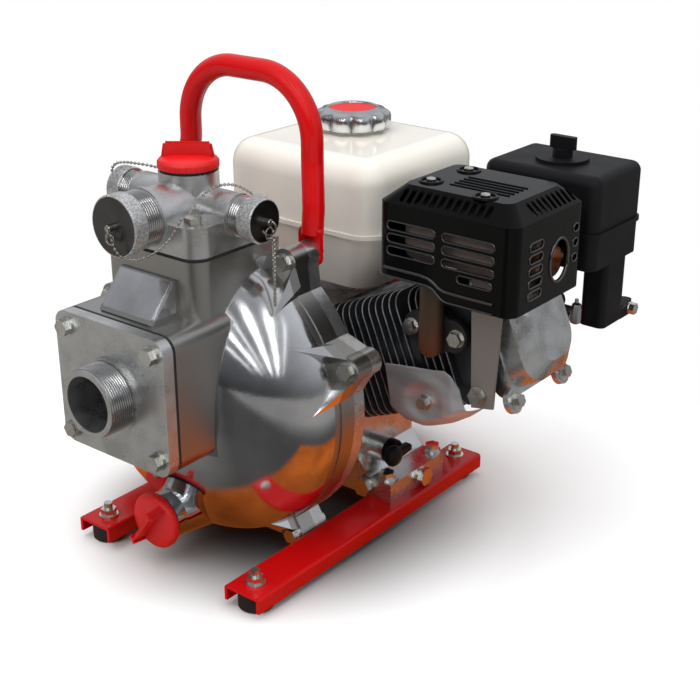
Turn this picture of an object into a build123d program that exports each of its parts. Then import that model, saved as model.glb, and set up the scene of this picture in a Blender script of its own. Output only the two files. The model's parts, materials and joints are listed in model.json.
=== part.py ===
from build123d import *
import os
from math import atan2, cos, degrees, hypot, pi, radians, sin, tan

os.makedirs("parts", exist_ok=True)

# Portable fire pump: a self-priming pump bolted to a small inclined engine, on two skids.
# Millimetres. +Z is up, the suction port points along -Y, the engine's cylinder leans to +X.
# The origin is on the floor, in the middle of the whole pump's footprint. Across positions are
# counted from the crankshaft's axis, which all the planes below start from.

# Axes and heights
CRANK_X = -61.3
CRANK_Z = 128
BOWL_Z = 148
SUCTION_Z = 185
OUTLET_Z = 328.7
TOWER_Y = -95
CYLINDER_Y = 60
CYLINDER_TILT = 22.5

# Skids, feet and engine base
SKID_MID = 23
SKID_GAUGE = 94
SKID_LENGTH = 343
SKID_WIDTH = 40
SKID_HEIGHT = 15
SKID_WALL = 3
SKID_TOP = 22
FOOT_RADIUS = 16
FOOT_Y = 153
BASE_TOP = 42
BASE_BOLTS = (-68, 114)
BASE_BOLT_YS = (40, 115.5)

# Pump bowl, seen along Y from the suction end
DOME_RADIUS = 141
DOME_DEPTH = 90
FLANGE_RADIUS = 142
FLANGE_FRONT = -64
FLANGE_BACK = -46
BACKPLATE_FRONT = FLANGE_BACK
BACKPLATE_BACK = -32
ENGINE_FACE = -10
CASTING_WALL = 4
EARS = ((-79.7, 135.8), (79.7, 135.8), (-148.3, 52.6), (148.3, 52.6), (-140, -71), (84.5, -131))
EAR_RADIUS = 12
EAR_FOOT_ANGLE = 10.5
BOX_FRONT = -184
BOX_WIDTH = 132
BOX_LOW, BOX_HIGH = 124, 248
COVER_FRONT, COVER_BACK = -198, -187
COVER_BOLTS = [(x, z) for x in (-52, 52) for z in (138, 234)]
THROAT_WIDTH = 114
THROAT_TOP = 298
MANIFOLD_LOW, MANIFOLD_HIGH = 301, 327
MANIFOLD_BOLTS = [(x, TOWER_Y + y) for x in (-43, 43) for y in (-40, 40)]
DRAIN_Z = 44
DRAIN_FACE = -152

# Carrying handle
HANDLE_R = 10
HANDLE_END = 5
HANDLE_X = 79.7

# Threads: major radii of 2, 1 1/2 and 1 inch pipe threads
SUCTION_R = 29.8
FRONT_R = 23.9
SIDE_R = 16.6

# Running shaft
SHAFT_R = 9.5
JOURNAL_R = 12.5
RUNNING_FIT = 0.06
FREE_FIT = 0.3

# Engine
BORE_R = 34
CYLINDER_FOOT = 72
DECK = 178
HEAD_END = 257
FAN_FRONT, FAN_BACK = 118, 190
FAN_RADIUS = 95
RECOIL_END = 225
ROPE_RADIUS = 50


def deck(z):
    """A level plane at height z, its local x counted from the crankshaft's axis."""
    return Plane(origin=(CRANK_X, 0, z))


def front(y):
    """An upright plane at y that faces the suction end: local x across, local y up."""
    return Plane(origin=(CRANK_X, y, 0), x_dir=(1, 0, 0), z_dir=(0, -1, 0))


def side(x):
    """An upright plane at x from the crankshaft that faces +X: local x along, local y up."""
    return Plane(origin=(CRANK_X + x, 0, 0), x_dir=(0, 1, 0), z_dir=(1, 0, 0))


def along_bore(distance):
    """A plane square to the cylinder's axis, at a distance from the crankshaft."""
    out = (cos(radians(CYLINDER_TILT)), 0, sin(radians(CYLINDER_TILT)))
    up = (-out[2], 0, out[0])
    centre = (CRANK_X + distance * out[0], CYLINDER_Y, CRANK_Z + distance * out[2])
    return Plane(origin=centre, x_dir=up, z_dir=out)


def rod(plane, at, radius, length, mode=Mode.ADD):
    """A cylinder that stands on a plane."""
    with BuildSketch(plane) as outline:
        with Locations(at):
            Circle(radius)
    extrude(outline.sketch, amount=length, mode=mode)


def tube(plane, at, outer, inner, length):
    """A hollow cylinder that stands on a plane."""
    with BuildSketch(plane) as outline:
        with Locations(at):
            Circle(outer)
            Circle(inner, mode=Mode.SUBTRACT)
    extrude(outline.sketch, amount=length)


def slab(plane, at, width, height, length, corner=0, mode=Mode.ADD):
    """A block that stands on a plane, its upright corners rounded."""
    with BuildSketch(plane) as outline:
        with Locations(at):
            if corner:
                RectangleRounded(width, height, corner)
            else:
                Rectangle(width, height)
    extrude(outline.sketch, amount=length, mode=mode)


def panel(plane, points, length, mode=Mode.ADD):
    """A plate of any outline that stands on a plane."""
    with BuildSketch(plane) as outline:
        with BuildLine():
            Polyline(*points, close=True)
        make_face()
    extrude(outline.sketch, amount=length, mode=mode)


def bolt(plane, at, length, nut=None, thread_r=4, flats=13, washer_r=8.5):
    """A hex bolt: washer and head above the plane, shank below, a nut at a depth if given."""
    head = 5.5
    washer = 1.6
    rod(plane, at, washer_r, washer)
    with BuildSketch(plane.offset(washer)) as hexagon:
        with Locations(at):
            RegularPolygon(flats / 2, 6, major_radius=False)
    extrude(hexagon.sketch, amount=head)
    rod(plane, at, thread_r, -length)
    if nut is not None:
        with BuildSketch(plane.offset(-nut)) as hexagon:
            with Locations(at):
                RegularPolygon(flats / 2, 6, major_radius=False)
        extrude(hexagon.sketch, amount=-6.5)


def ears_outline(plane, length):
    """The six bolt ears round the pump's flange. The upper four widen into it."""
    for x, z in EARS:
        reach, turn = hypot(x, z), atan2(z, x)
        foot = radians(EAR_FOOT_ANGLE)
        aside_x, aside_z = -EAR_RADIUS * sin(turn), EAR_RADIUS * cos(turn)
        with BuildSketch(plane) as ear:
            with Locations((x, BOWL_Z + z)):
                Circle(EAR_RADIUS)
            if z > 0:
                with BuildLine():
                    Polyline(
                        (FLANGE_RADIUS * cos(turn + foot), BOWL_Z + FLANGE_RADIUS * sin(turn + foot)),
                        (x + aside_x, BOWL_Z + z + aside_z),
                        (x - aside_x, BOWL_Z + z - aside_z),
                        (FLANGE_RADIUS * cos(turn - foot), BOWL_Z + FLANGE_RADIUS * sin(turn - foot)),
                        close=True,
                    )
                make_face()
            else:
                with Locations(Location((x * 0.92, BOWL_Z + z * 0.92), degrees(turn))):
                    Rectangle(reach * 0.16, 2 * EAR_RADIUS)
        extrude(ear.sketch, amount=length)


def ear_holes(plane, length):
    """Clearance holes for the six flange bolts."""
    for x, z in EARS:
        rod(plane, (x, BOWL_Z + z), 4.3, length, Mode.SUBTRACT)


# Skids -------------------------------------------------------------------------------------------


def skid(middle, base_bolt_x):
    """One folded channel, open downwards, drilled for its feet and for the engine."""
    slab(front(SKID_LENGTH / 2), (middle, SKID_TOP - SKID_HEIGHT / 2), SKID_WIDTH, SKID_HEIGHT, SKID_LENGTH)
    edges = [e for e in current_part().edges().filter_by(Axis.Y) if e.center().Z > SKID_TOP - 1]
    fillet(edges, SKID_WALL)
    inner = SKID_WIDTH - 2 * SKID_WALL
    drop = SKID_HEIGHT - SKID_WALL
    centre_z = SKID_TOP - SKID_HEIGHT + drop / 2
    slab(front(SKID_LENGTH / 2), (middle, centre_z), inner, drop, SKID_LENGTH, mode=Mode.SUBTRACT)
    for y in (-FOOT_Y, FOOT_Y):
        rod(deck(0), (middle, y), 4.3, SKID_TOP + 1, Mode.SUBTRACT)
    for y in BASE_BOLT_YS:
        rod(deck(0), (base_bolt_x, y), 4.3, SKID_TOP + 1, Mode.SUBTRACT)


def current_part():
    """The part that the open BuildPart block holds so far."""
    return BuildPart._get_context().part


with BuildPart() as skid_left:
    skid(SKID_MID - SKID_GAUGE, BASE_BOLTS[0])
skid_left.part.label = "skid_left"
export_step(skid_left.part, "parts/skid_left.step")

with BuildPart() as skid_right:
    skid(SKID_MID + SKID_GAUGE, BASE_BOLTS[1])
skid_right.part.label = "skid_right"
export_step(skid_right.part, "parts/skid_right.step")

FEET = [(SKID_MID + s * SKID_GAUGE, y) for s in (-1, 1) for y in (-FOOT_Y, FOOT_Y)]
with BuildPart() as rubber_feet:
    for at in FEET:
        rod(deck(0), at, FOOT_RADIUS, SKID_TOP - SKID_WALL)
    chamfer(rubber_feet.edges().group_by(Axis.Z)[0], 1.5)
    for at in FEET:
        rod(deck(8), at, 4.1, SKID_TOP, Mode.SUBTRACT)
rubber_feet.part.label = "rubber_feet"
export_step(rubber_feet.part, "parts/rubber_feet.step")

with BuildPart() as skid_bolts:
    for at in FEET:
        rod(deck(8.5), at, 4, 27)
        rod(deck(SKID_TOP), at, 9, 1.6)
        with BuildSketch(deck(SKID_TOP + 1.6)) as hexagon:
            with Locations(at):
                RegularPolygon(6.5, 6, major_radius=False)
        extrude(amount=6)
    for x in BASE_BOLTS:
        for y in BASE_BOLT_YS:
            bolt(deck(BASE_TOP), (x, y), 32, nut=BASE_TOP - SKID_TOP + SKID_WALL)
skid_bolts.part.label = "skid_bolts"
export_step(skid_bolts.part, "parts/skid_bolts.step")

# Pump --------------------------------------------------------------------------------------------


def dome_profile(radius, depth, rim):
    """A half-ellipse bowl with a straight rim back to y = rim, spun about the pump's axis."""
    axis_plane = Plane(origin=(CRANK_X, 0, BOWL_Z))
    with BuildSketch(axis_plane) as profile:
        with BuildLine():
            EllipticalCenterArc((0, FLANGE_FRONT), radius, depth, start_angle=270, arc_size=90)
            Polyline((radius, FLANGE_FRONT), (radius, rim), (0, rim), (0, FLANGE_FRONT - depth))
        make_face()
    return profile.sketch


def pointed_rib(x, z, hand):
    """A rib like a thorn: wide at an ear, with its point on the dome, to one side or straight on."""
    reach, turn = hypot(x, z), atan2(z, x)
    if hand:
        root_points = [(reach + 5, 9), (reach - 8, 24), (134, 27), (132, 7)]
        point_radius, point_turn, point_y = 134, 13, -93
    else:
        root_points = [(reach, -9), (reach, 9), (134, 10), (134, -10)]
        point_radius, point_turn, point_y = 112, 0, -118
    corners = []
    for outward, along in root_points:
        along *= hand or 1
        corners.append(
            (
                outward * cos(turn) - along * sin(turn),
                BOWL_Z + outward * sin(turn) + along * cos(turn),
            )
        )
    with BuildSketch(front(FLANGE_FRONT + 1)) as root:
        with BuildLine():
            Polyline(*corners, close=True)
        make_face()
    point_turn = turn + radians(point_turn) * hand
    point = (
        CRANK_X + point_radius * cos(point_turn),
        point_y,
        BOWL_Z + point_radius * sin(point_turn),
    )
    loft([root.sketch.face(), Vertex(*point)])


def clear_of_skid(margin):
    """A cast flat over the left skid, which runs close under the bowl."""
    edge = SKID_MID - SKID_GAUGE + SKID_WIDTH / 2 + margin
    slab(front(FLANGE_BACK + 30), (edge - 60, 0), 120, 2 * (SKID_TOP + margin), 130, mode=Mode.SUBTRACT)


BOWL_AXIS = Axis((CRANK_X, 0, BOWL_Z), (0, 1, 0))

with BuildPart() as bowl_hollow:
    revolve(dome_profile(DOME_RADIUS - CASTING_WALL, DOME_DEPTH - CASTING_WALL, FLANGE_BACK), axis=BOWL_AXIS)
    clear_of_skid(2 + CASTING_WALL)

with BuildPart() as pump_casing:
    revolve(dome_profile(DOME_RADIUS, DOME_DEPTH, FLANGE_BACK), axis=BOWL_AXIS)
    rod(front(FLANGE_BACK), (0, BOWL_Z), FLANGE_RADIUS, FLANGE_FRONT * -1 + FLANGE_BACK)
    ears_outline(front(FLANGE_BACK), FLANGE_BACK - FLANGE_FRONT)
    # two pointed ribs spread from each upper ear over the dome, and one from each lower ear
    for x, z in EARS:
        for hand in (-1, 1) if z > 0 else (0,):
            pointed_rib(x, z, hand)
        rod(front(FLANGE_FRONT), (x, BOWL_Z + z), 9.5, 40, Mode.SUBTRACT)
    # suction box, throat and drain boss
    slab(front(-80), (0, (BOX_LOW + BOX_HIGH) / 2), BOX_WIDTH, BOX_HIGH - BOX_LOW, -80 - BOX_FRONT, 13)
    slab(deck(200), (0, -99.5), THROAT_WIDTH, 95, THROAT_TOP - 201, 15)
    slab(deck(200), (0, -72), THROAT_WIDTH, 52, THROAT_TOP - 200)
    slab(deck(THROAT_TOP - 2), (0, -99.5), THROAT_WIDTH, 95, 2, 15)
    panel(side(-33), [(-178, 246), (-146, 246), (-146, 280), (-149, 280)], 66)
    panel(side(-29), [(-178.7, 249), (-150.5, 278.5), (-149, 277), (-177, 247)], 58)
    rod(front(-90), (0, DRAIN_Z), 23, -90 - DRAIN_FACE)
    with BuildSketch(front(-100)) as flare:
        with Locations((0, DRAIN_Z + 2)):
            Circle(30)
    with BuildSketch(front(-140)) as neck:
        with Locations((0, DRAIN_Z)):
            Circle(23)
    loft([flare.sketch, neck.sketch])
    # the hollow bowl, the suction chamber, the throat and the drain hole
    clear_of_skid(2)
    add(bowl_hollow.part, mode=Mode.SUBTRACT)
    slab(front(-138), (0, 186), 112, 104, 46, 9, Mode.SUBTRACT)
    slab(deck(215), (0, -102), 66, 66, 90, 12, Mode.SUBTRACT)
    rod(front(-90), (0, DRAIN_Z), 16.9, 70, Mode.SUBTRACT)
    for at in COVER_BOLTS:
        rod(front(-168), at, 4.2, 20, Mode.SUBTRACT)
    for at in MANIFOLD_BOLTS:
        rod(deck(272), at, 4.2, 30, Mode.SUBTRACT)
    ear_holes(front(FLANGE_BACK + 1), 40)
pump_casing.part.label = "pump_casing"
export_step(pump_casing.part, "parts/pump_casing.step")

with BuildPart() as casing_backplate:
    thickness = BACKPLATE_BACK - BACKPLATE_FRONT
    rod(front(BACKPLATE_BACK), (0, BOWL_Z), FLANGE_RADIUS, thickness)
    ears_outline(front(BACKPLATE_BACK), thickness)
    rod(front(ENGINE_FACE), (0, CRANK_Z), 68, BACKPLATE_BACK * -1 + ENGINE_FACE)
    rod(front(ENGINE_FACE), (0, CRANK_Z), 52, BACKPLATE_BACK * -1 + ENGINE_FACE, Mode.SUBTRACT)
    rod(front(0), (0, CRANK_Z), 12, 60, Mode.SUBTRACT)
    clear_of_skid(2)
    ear_holes(front(BACKPLATE_BACK + 1), 20)
casing_backplate.part.label = "casing_backplate"
export_step(casing_backplate.part, "parts/casing_backplate.step")

with BuildPart() as suction_cover:
    slab(front(COVER_BACK), (0, 186), BOX_WIDTH, BOX_HIGH - BOX_LOW, COVER_BACK - COVER_FRONT, 13)
    rod(front(COVER_FRONT), (0, SUCTION_Z), 33, 3)
    rod(front(COVER_FRONT), (0, SUCTION_Z), SUCTION_R, 27)
    rod(front(COVER_BACK), (0, SUCTION_Z), 25, 40, Mode.SUBTRACT)
    for at in COVER_BOLTS:
        rod(front(COVER_BACK), at, 4.2, 12, Mode.SUBTRACT)
suction_cover.part.label = "suction_cover"
export_step(suction_cover.part, "parts/suction_cover.step")

with BuildPart() as suction_gasket:
    slab(front(BOX_FRONT), (0, 186), BOX_WIDTH, BOX_HIGH - BOX_LOW, 3, 13)
    slab(front(BOX_FRONT), (0, 186), 84, 88, 3, 9, Mode.SUBTRACT)
    for at in COVER_BOLTS:
        rod(front(BOX_FRONT), at, 4.2, 4, Mode.SUBTRACT)
suction_gasket.part.label = "suction_gasket"
export_step(suction_gasket.part, "parts/suction_gasket.step")

FLAP_HINGE_Z = 226
with BuildPart() as suction_flap:
    rod(front(-182.4), (0, SUCTION_Z), 31, 4)
    slab(front(-182.4), (0, (FLAP_HINGE_Z + SUCTION_Z) / 2), 36, FLAP_HINGE_Z - SUCTION_Z, 4)
suction_flap.part.label = "suction_flap"
export_step(suction_flap.part, "parts/suction_flap.step")

with BuildPart() as discharge_manifold:
    slab(deck(MANIFOLD_LOW), (0, TOWER_Y), THROAT_WIDTH, 104, MANIFOLD_HIGH - MANIFOLD_LOW, 16)
    rod(deck(MANIFOLD_HIGH - 5), (0, TOWER_Y), 26, 359 - MANIFOLD_HIGH + 5)
    rod(front(TOWER_Y), (0, OUTLET_Z), 24.5, 55)
    rod(front(-147), (0, OUTLET_Z), 26, 3.5)
    rod(front(-147), (0, OUTLET_Z), FRONT_R, 29.5)
    rod(side(-58), (TOWER_Y, OUTLET_Z), 18.5, 116)
    rod(side(-79.9), (TOWER_Y, OUTLET_Z), SIDE_R, 2 * 79.9)
    rod(deck(MANIFOLD_LOW), (0, TOWER_Y), 33, 20, Mode.SUBTRACT)
    rod(deck(MANIFOLD_LOW), (0, TOWER_Y), 17, 60, Mode.SUBTRACT)
    rod(front(TOWER_Y), (0, OUTLET_Z), 19, 90, Mode.SUBTRACT)
    rod(side(-90), (TOWER_Y, OUTLET_Z), 12.5, 180, Mode.SUBTRACT)
    for at in MANIFOLD_BOLTS:
        rod(deck(MANIFOLD_LOW), at, 4.2, 30, Mode.SUBTRACT)
        rod(deck(MANIFOLD_HIGH), at, 9.5, 12, Mode.SUBTRACT)
discharge_manifold.part.label = "discharge_manifold"
export_step(discharge_manifold.part, "parts/discharge_manifold.step")

with BuildPart() as discharge_gasket:
    slab(deck(THROAT_TOP), (0, TOWER_Y), THROAT_WIDTH, 104, MANIFOLD_LOW - THROAT_TOP, 16)
    slab(deck(THROAT_TOP), (0, -102), 66, 66, 3, 12, Mode.SUBTRACT)
    for at in MANIFOLD_BOLTS:
        rod(deck(THROAT_TOP), at, 4.2, 4, Mode.SUBTRACT)
discharge_gasket.part.label = "discharge_gasket"
export_step(discharge_gasket.part, "parts/discharge_gasket.step")

with BuildPart() as pump_bolts:
    for x, z in EARS:
        backing = BACKPLATE_BACK + (HANDLE_END if z == EARS[0][1] else 0)
        grip = backing - FLANGE_FRONT
        bolt(front(FLANGE_FRONT), (x, BOWL_Z + z), grip + 9, nut=grip)
    for at in COVER_BOLTS:
        bolt(front(COVER_FRONT), at, 26)
    for at in MANIFOLD_BOLTS:
        bolt(deck(MANIFOLD_HIGH), at, 46)
pump_bolts.part.label = "pump_bolts"
export_step(pump_bolts.part, "parts/pump_bolts.step")

# Caps --------------------------------------------------------------------------------------------


def outlet_cap(face, thread_r):
    """A screw cap over a male thread. The plane lies on the thread's end and faces outwards."""
    outer = thread_r + 2.1
    rod(face.offset(-9), (0, 0), outer, 15.1)
    rod(face.offset(-9), (0, 0), thread_r + FREE_FIT, 12.1, Mode.SUBTRACT)
    rod(face.offset(6.1), (0, 0), 3.2, 7.5)


def cap_washer(face, thread_r):
    """The flat rubber ring between a thread's end and its cap."""
    tube(face.offset(FREE_FIT), (0, 0), thread_r - 0.6, thread_r - 7, 2.4)


def winged_plug(face, turn):
    """A red screw plug with a knurled rim, a low dome and a flat wing to turn it by."""
    rod(face.offset(2.5), (0, 0), 26.5, 6)
    with BuildSketch(face.offset(8.5)) as low:
        Circle(25.5)
    with BuildSketch(face.offset(12.5)) as high:
        Circle(15)
    loft([low.sketch, high.sketch])
    with BuildSketch(face.offset(8.5)) as wing_foot:
        Rectangle(46, 6.5, rotation=turn)
    with BuildSketch(face.offset(24)) as wing_top:
        Rectangle(41, 5.5, rotation=turn)
    loft([wing_foot.sketch, wing_top.sketch])
    rod(face.offset(-13), (0, 0), 16.6, 15.5)


def plug_ring(face):
    """The rubber ring under a winged plug."""
    tube(face.offset(0.2), (0, 0), 24.5, 17.4, 2)


filler_face = Plane(origin=(CRANK_X, TOWER_Y, 359))
drain_face = Plane(origin=(CRANK_X, DRAIN_FACE, DRAIN_Z), x_dir=(1, 0, 0), z_dir=(0, -1, 0))
front_face = Plane(origin=(CRANK_X, -176.5, OUTLET_Z), x_dir=(1, 0, 0), z_dir=(0, -1, 0))
right_face = Plane(origin=(CRANK_X + 79.9, TOWER_Y, OUTLET_Z), x_dir=(0, 1, 0), z_dir=(1, 0, 0))
left_face = Plane(origin=(CRANK_X - 79.9, TOWER_Y, OUTLET_Z), x_dir=(0, 1, 0), z_dir=(-1, 0, 0))

with BuildPart() as filler_cap:
    winged_plug(filler_face, 37)
filler_cap.part.label = "filler_cap"
export_step(filler_cap.part, "parts/filler_cap.step")

with BuildPart() as filler_cap_seal:
    plug_ring(filler_face)
filler_cap_seal.part.label = "filler_cap_seal"
export_step(filler_cap_seal.part, "parts/filler_cap_seal.step")

with BuildPart() as drain_cap:
    winged_plug(drain_face, 52)
drain_cap.part.label = "drain_cap"
export_step(drain_cap.part, "parts/drain_cap.step")

with BuildPart() as drain_cap_seal:
    plug_ring(drain_face)
drain_cap_seal.part.label = "drain_cap_seal"
export_step(drain_cap_seal.part, "parts/drain_cap_seal.step")

with BuildPart() as front_outlet_cap:
    outlet_cap(front_face, FRONT_R)
front_outlet_cap.part.label = "front_outlet_cap"
export_step(front_outlet_cap.part, "parts/front_outlet_cap.step")

with BuildPart() as front_cap_washer:
    cap_washer(front_face, FRONT_R)
front_cap_washer.part.label = "front_cap_washer"
export_step(front_cap_washer.part, "parts/front_cap_washer.step")

with BuildPart() as right_outlet_cap:
    outlet_cap(right_face, SIDE_R)
right_outlet_cap.part.label = "right_outlet_cap"
export_step(right_outlet_cap.part, "parts/right_outlet_cap.step")

with BuildPart() as right_cap_washer:
    cap_washer(right_face, SIDE_R)
right_cap_washer.part.label = "right_cap_washer"
export_step(right_cap_washer.part, "parts/right_cap_washer.step")

with BuildPart() as left_outlet_cap:
    outlet_cap(left_face, SIDE_R)
left_outlet_cap.part.label = "left_outlet_cap"
export_step(left_outlet_cap.part, "parts/left_outlet_cap.step")

with BuildPart() as left_cap_washer:
    cap_washer(left_face, SIDE_R)
left_cap_washer.part.label = "left_cap_washer"
export_step(left_cap_washer.part, "parts/left_cap_washer.step")

# Ball chains: points are (across, along, up), from the manifold's bolts to each cap's stud
CHAIN_R = 1.5
FRONT_CHAIN = [
    (41, -146, 334), (38, -152, 323), (33, -160, 313), (27, -170, 306),
    (19, -181, 303), (11, -188, 307), (6, -190, 316), (4.5, -190, 324),
]
RIGHT_CHAIN = [
    (33, -128, 334), (35, -118, 345), (38, -104, 352), (43, -88, 352), (49, -74, 344),
    (57, -67, 333), (66, -67, 316), (75, -74, 297), (83, -82, 281), (89, -88, 268),
    (93, -92, 259), (97, -97, 257), (99, -100, 265), (99, -99, 280), (98, -97, 297), (97, -96, 313), (95, -95, 322),
]
LEFT_CHAIN = [
    (-43, -66, 335), (-46, -76, 345), (-53, -87, 351), (-64, -95, 353),
    (-76, -98, 353), (-86, -100, 351), (-92, -101, 345), (-92.5, -99.5, 336),
]


def corner_radii(points):
    """Each corner's arc, as large as its two runs allow."""
    radii = []
    for before, here, after in zip(points, points[1:], points[2:]):
        into = Vector(*here) - Vector(*before)
        away = Vector(*after) - Vector(*here)
        half_turn = radians(into.get_angle(away)) / 2
        radii.append(0.45 * min(into.length, away.length) / tan(half_turn))
    return radii


def chain(points, name):
    """A plain tube along a ball chain's line."""
    route = [(CRANK_X + x, y, z) for x, y, z in points]
    radii = corner_radii(route)
    with BuildLine() as line:
        FilletPolyline(*route, radius=radii)
    with BuildSketch(Plane(origin=line.line @ 0, z_dir=line.line % 0)) as section:
        Circle(CHAIN_R)
    sweep(section.sketch, path=line.line)
    length = sum(edge.length for edge in line.edges())
    share = current_part().volume / (length * pi * CHAIN_R**2)
    print(name, "radii", [round(r, 1) for r in radii], "length", round(length, 1), "share", round(share, 3))


with BuildPart() as chain_front:
    chain(FRONT_CHAIN, "chain_front")
chain_front.part.label = "chain_front"
export_step(chain_front.part, "parts/chain_front.step")

with BuildPart() as chain_right:
    chain(RIGHT_CHAIN, "chain_right")
chain_right.part.label = "chain_right"
export_step(chain_right.part, "parts/chain_right.step")

with BuildPart() as chain_left:
    chain(LEFT_CHAIN, "chain_left")
chain_left.part.label = "chain_left"
export_step(chain_left.part, "parts/chain_left.step")

# Inside the pump ---------------------------------------------------------------------------------

with BuildPart() as mechanical_seal:
    tube(front(BACKPLATE_FRONT), (0, CRANK_Z), 18, SHAFT_R + RUNNING_FIT, 9)
mechanical_seal.part.label = "mechanical_seal"
export_step(mechanical_seal.part, "parts/mechanical_seal.step")

with BuildPart() as impeller:
    rod(front(-56), (0, CRANK_Z), 60, 4)
    rod(front(-56), (0, CRANK_Z), 15, 24)
    for k in range(5):
        hub = Plane(origin=(CRANK_X, -59, CRANK_Z), x_dir=(cos(k * 1.2566), 0, sin(k * 1.2566)), z_dir=(0, -1, 0))
        with BuildSketch(hub) as vane:
            with BuildLine():
                ThreePointArc((13, 0), (35, -8), (52, -28))
                Line((52, -28), (54, -24))
                ThreePointArc((54, -24), (36, -4), (13, 4))
                Line((13, 4), (13, 0))
            make_face()
        extrude(vane.sketch, amount=20)
    rod(front(-40), (0, CRANK_Z), SHAFT_R, 60, Mode.SUBTRACT)
impeller.part.label = "impeller"
export_step(impeller.part, "parts/impeller.step")

with BuildPart() as volute:
    rod(front(BACKPLATE_FRONT), (0, CRANK_Z), 84, 44)
    rod(front(BACKPLATE_FRONT), (0, CRANK_Z), 64, 38, Mode.SUBTRACT)
    rod(front(-88), (0, CRANK_Z), 30, 34)
    rod(front(-80), (0, CRANK_Z), 24, 50, Mode.SUBTRACT)
    slab(front(BACKPLATE_FRONT), (0, CRANK_Z + 80), 46, 60, 38, mode=Mode.SUBTRACT)
volute.part.label = "volute"
export_step(volute.part, "parts/volute.step")

# Carrying handle ---------------------------------------------------------------------------------

HANDLE_Y = BACKPLATE_BACK + HANDLE_END
with BuildPart() as carry_handle:
    half = [(HANDLE_X, HANDLE_Y, 300), (HANDLE_X, HANDLE_Y + 2, 322), (73, -18, 360), (73, -18, 433)]
    route = [(CRANK_X - x, y, z) for x, y, z in half] + [(CRANK_X + x, y, z) for x, y, z in reversed(half)]
    with BuildLine() as line:
        FilletPolyline(*route, radius=[40, 40, 55, 55, 40, 40])
    with BuildSketch(Plane(origin=line.line @ 0, z_dir=line.line % 0)) as section:
        Circle(HANDLE_R)
    sweep(section.sketch, path=line.line)
    for x in (-HANDLE_X, HANDLE_X):
        slab(front(HANDLE_Y), (x, 290), 24, 36, HANDLE_END, 8)
        rod(front(0), (x, BOWL_Z + EARS[0][1]), 4.3, 60, Mode.SUBTRACT)
carry_handle.part.label = "carry_handle"
export_step(carry_handle.part, "parts/carry_handle.step")

# Engine block ------------------------------------------------------------------------------------

CASE_OUTLINE = [
    (-80, 22), (-80, 42), (-67, 46), (-75, 110), (-79, 164), (-42, 204), (-12, 213), (22, 209), (46.6, 203.6),
    (86.4, 107.5), (86.4, 58), (100, 42), (126, 42), (126, 22),
]
SIDE_COVER_OUTLINE = [(-60, 50), (-74, 110), (-76, 164), (-40, 201), (-12, 210), (40, 198), (84, 108), (80, 54)]
COVER_SCREWS = [(-50, 58), (-70, 158), (-14, 204), (41, 190), (76, 122), (72, 60)]

with BuildPart() as crankcase:
    panel(front(FAN_FRONT), CASE_OUTLINE, 88)
    rod(front(110), (0, CRANK_Z), 60, 90, Mode.SUBTRACT)
    rod(along_bore(20), (0, 0), 36.5, 60, Mode.SUBTRACT)
    rod(front(FAN_FRONT + 1), (0, CRANK_Z), JOURNAL_R + RUNNING_FIT, 20, Mode.SUBTRACT)
    rod(side(70), (55, 64), 13, 35)
    rod(side(60), (55, 64), 9, 50, Mode.SUBTRACT)
    rod(side(110), (81, 32), 6.3, 20, Mode.SUBTRACT)
    rod(front(50), (95, 32), 6.3, 40, Mode.SUBTRACT)
    for x in BASE_BOLTS:
        for y in BASE_BOLT_YS:
            rod(deck(0), (x, y), 4.3, 60, Mode.SUBTRACT)
            rod(deck(BASE_TOP), (x, y), 9.5, 12, Mode.SUBTRACT)
    for at in COVER_SCREWS:
        rod(front(50), at, 3.2, 40, Mode.SUBTRACT)
crankcase.part.label = "crankcase"
export_step(crankcase.part, "parts/crankcase.step")

with BuildPart() as crankcase_cover:
    panel(front(30), SIDE_COVER_OUTLINE, 12)
    rod(front(30), (0, CRANK_Z), 67, 30 - ENGINE_FACE)
    for at in COVER_SCREWS:
        rod(front(30), at, 8, 14)
    rod(front(30), (0, CRANK_Z), 58, 28, Mode.SUBTRACT)
    rod(front(30), (0, CRANK_Z), 22, 36)
    rod(front(31), (0, CRANK_Z), JOURNAL_R + RUNNING_FIT, 50, Mode.SUBTRACT)
    for at in COVER_SCREWS:
        rod(front(31), at, 3.2, 40, Mode.SUBTRACT)
crankcase_cover.part.label = "crankcase_cover"
export_step(crankcase_cover.part, "parts/crankcase_cover.step")

CRANK_THROW = 22.5
with BuildPart() as crankshaft:
    rod(front(-8), (0, CRANK_Z), SHAFT_R, 74)
    rod(front(52), (0, CRANK_Z), JOURNAL_R, 62)
    rod(front(132), (0, CRANK_Z), JOURNAL_R, 42)
    rod(front(168), (0, CRANK_Z), 9, 40)
    for y in (62, 98):
        slab(front(y), (0, CRANK_Z), 50, 92, 12, 24)
    rod(front(88), (0, CRANK_Z + CRANK_THROW), 15, 40)
crankshaft.part.label = "crankshaft"
export_step(crankshaft.part, "parts/crankshaft.step")

with BuildPart() as flywheel:
    rod(front(160), (0, CRANK_Z), 78, 26)
    rod(front(161), (0, CRANK_Z), 66, 18, Mode.SUBTRACT)
    rod(front(160), (0, CRANK_Z), 20, 20)
    with BuildSketch(front(174)) as blades:
        with Locations((0, CRANK_Z)):
            with PolarLocations(70, 16):
                Rectangle(16, 2.4, rotation=25)
    extrude(blades.sketch, amount=16)
    rod(front(180), (0, CRANK_Z), 9 + RUNNING_FIT, 48, Mode.SUBTRACT)
    rod(front(134.2), (0, CRANK_Z), JOURNAL_R + FREE_FIT, 2, Mode.SUBTRACT)
flywheel.part.label = "flywheel"
export_step(flywheel.part, "parts/flywheel.step")

# Cylinder and head: local x on these planes runs up across the bore, local y runs to -Y

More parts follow.
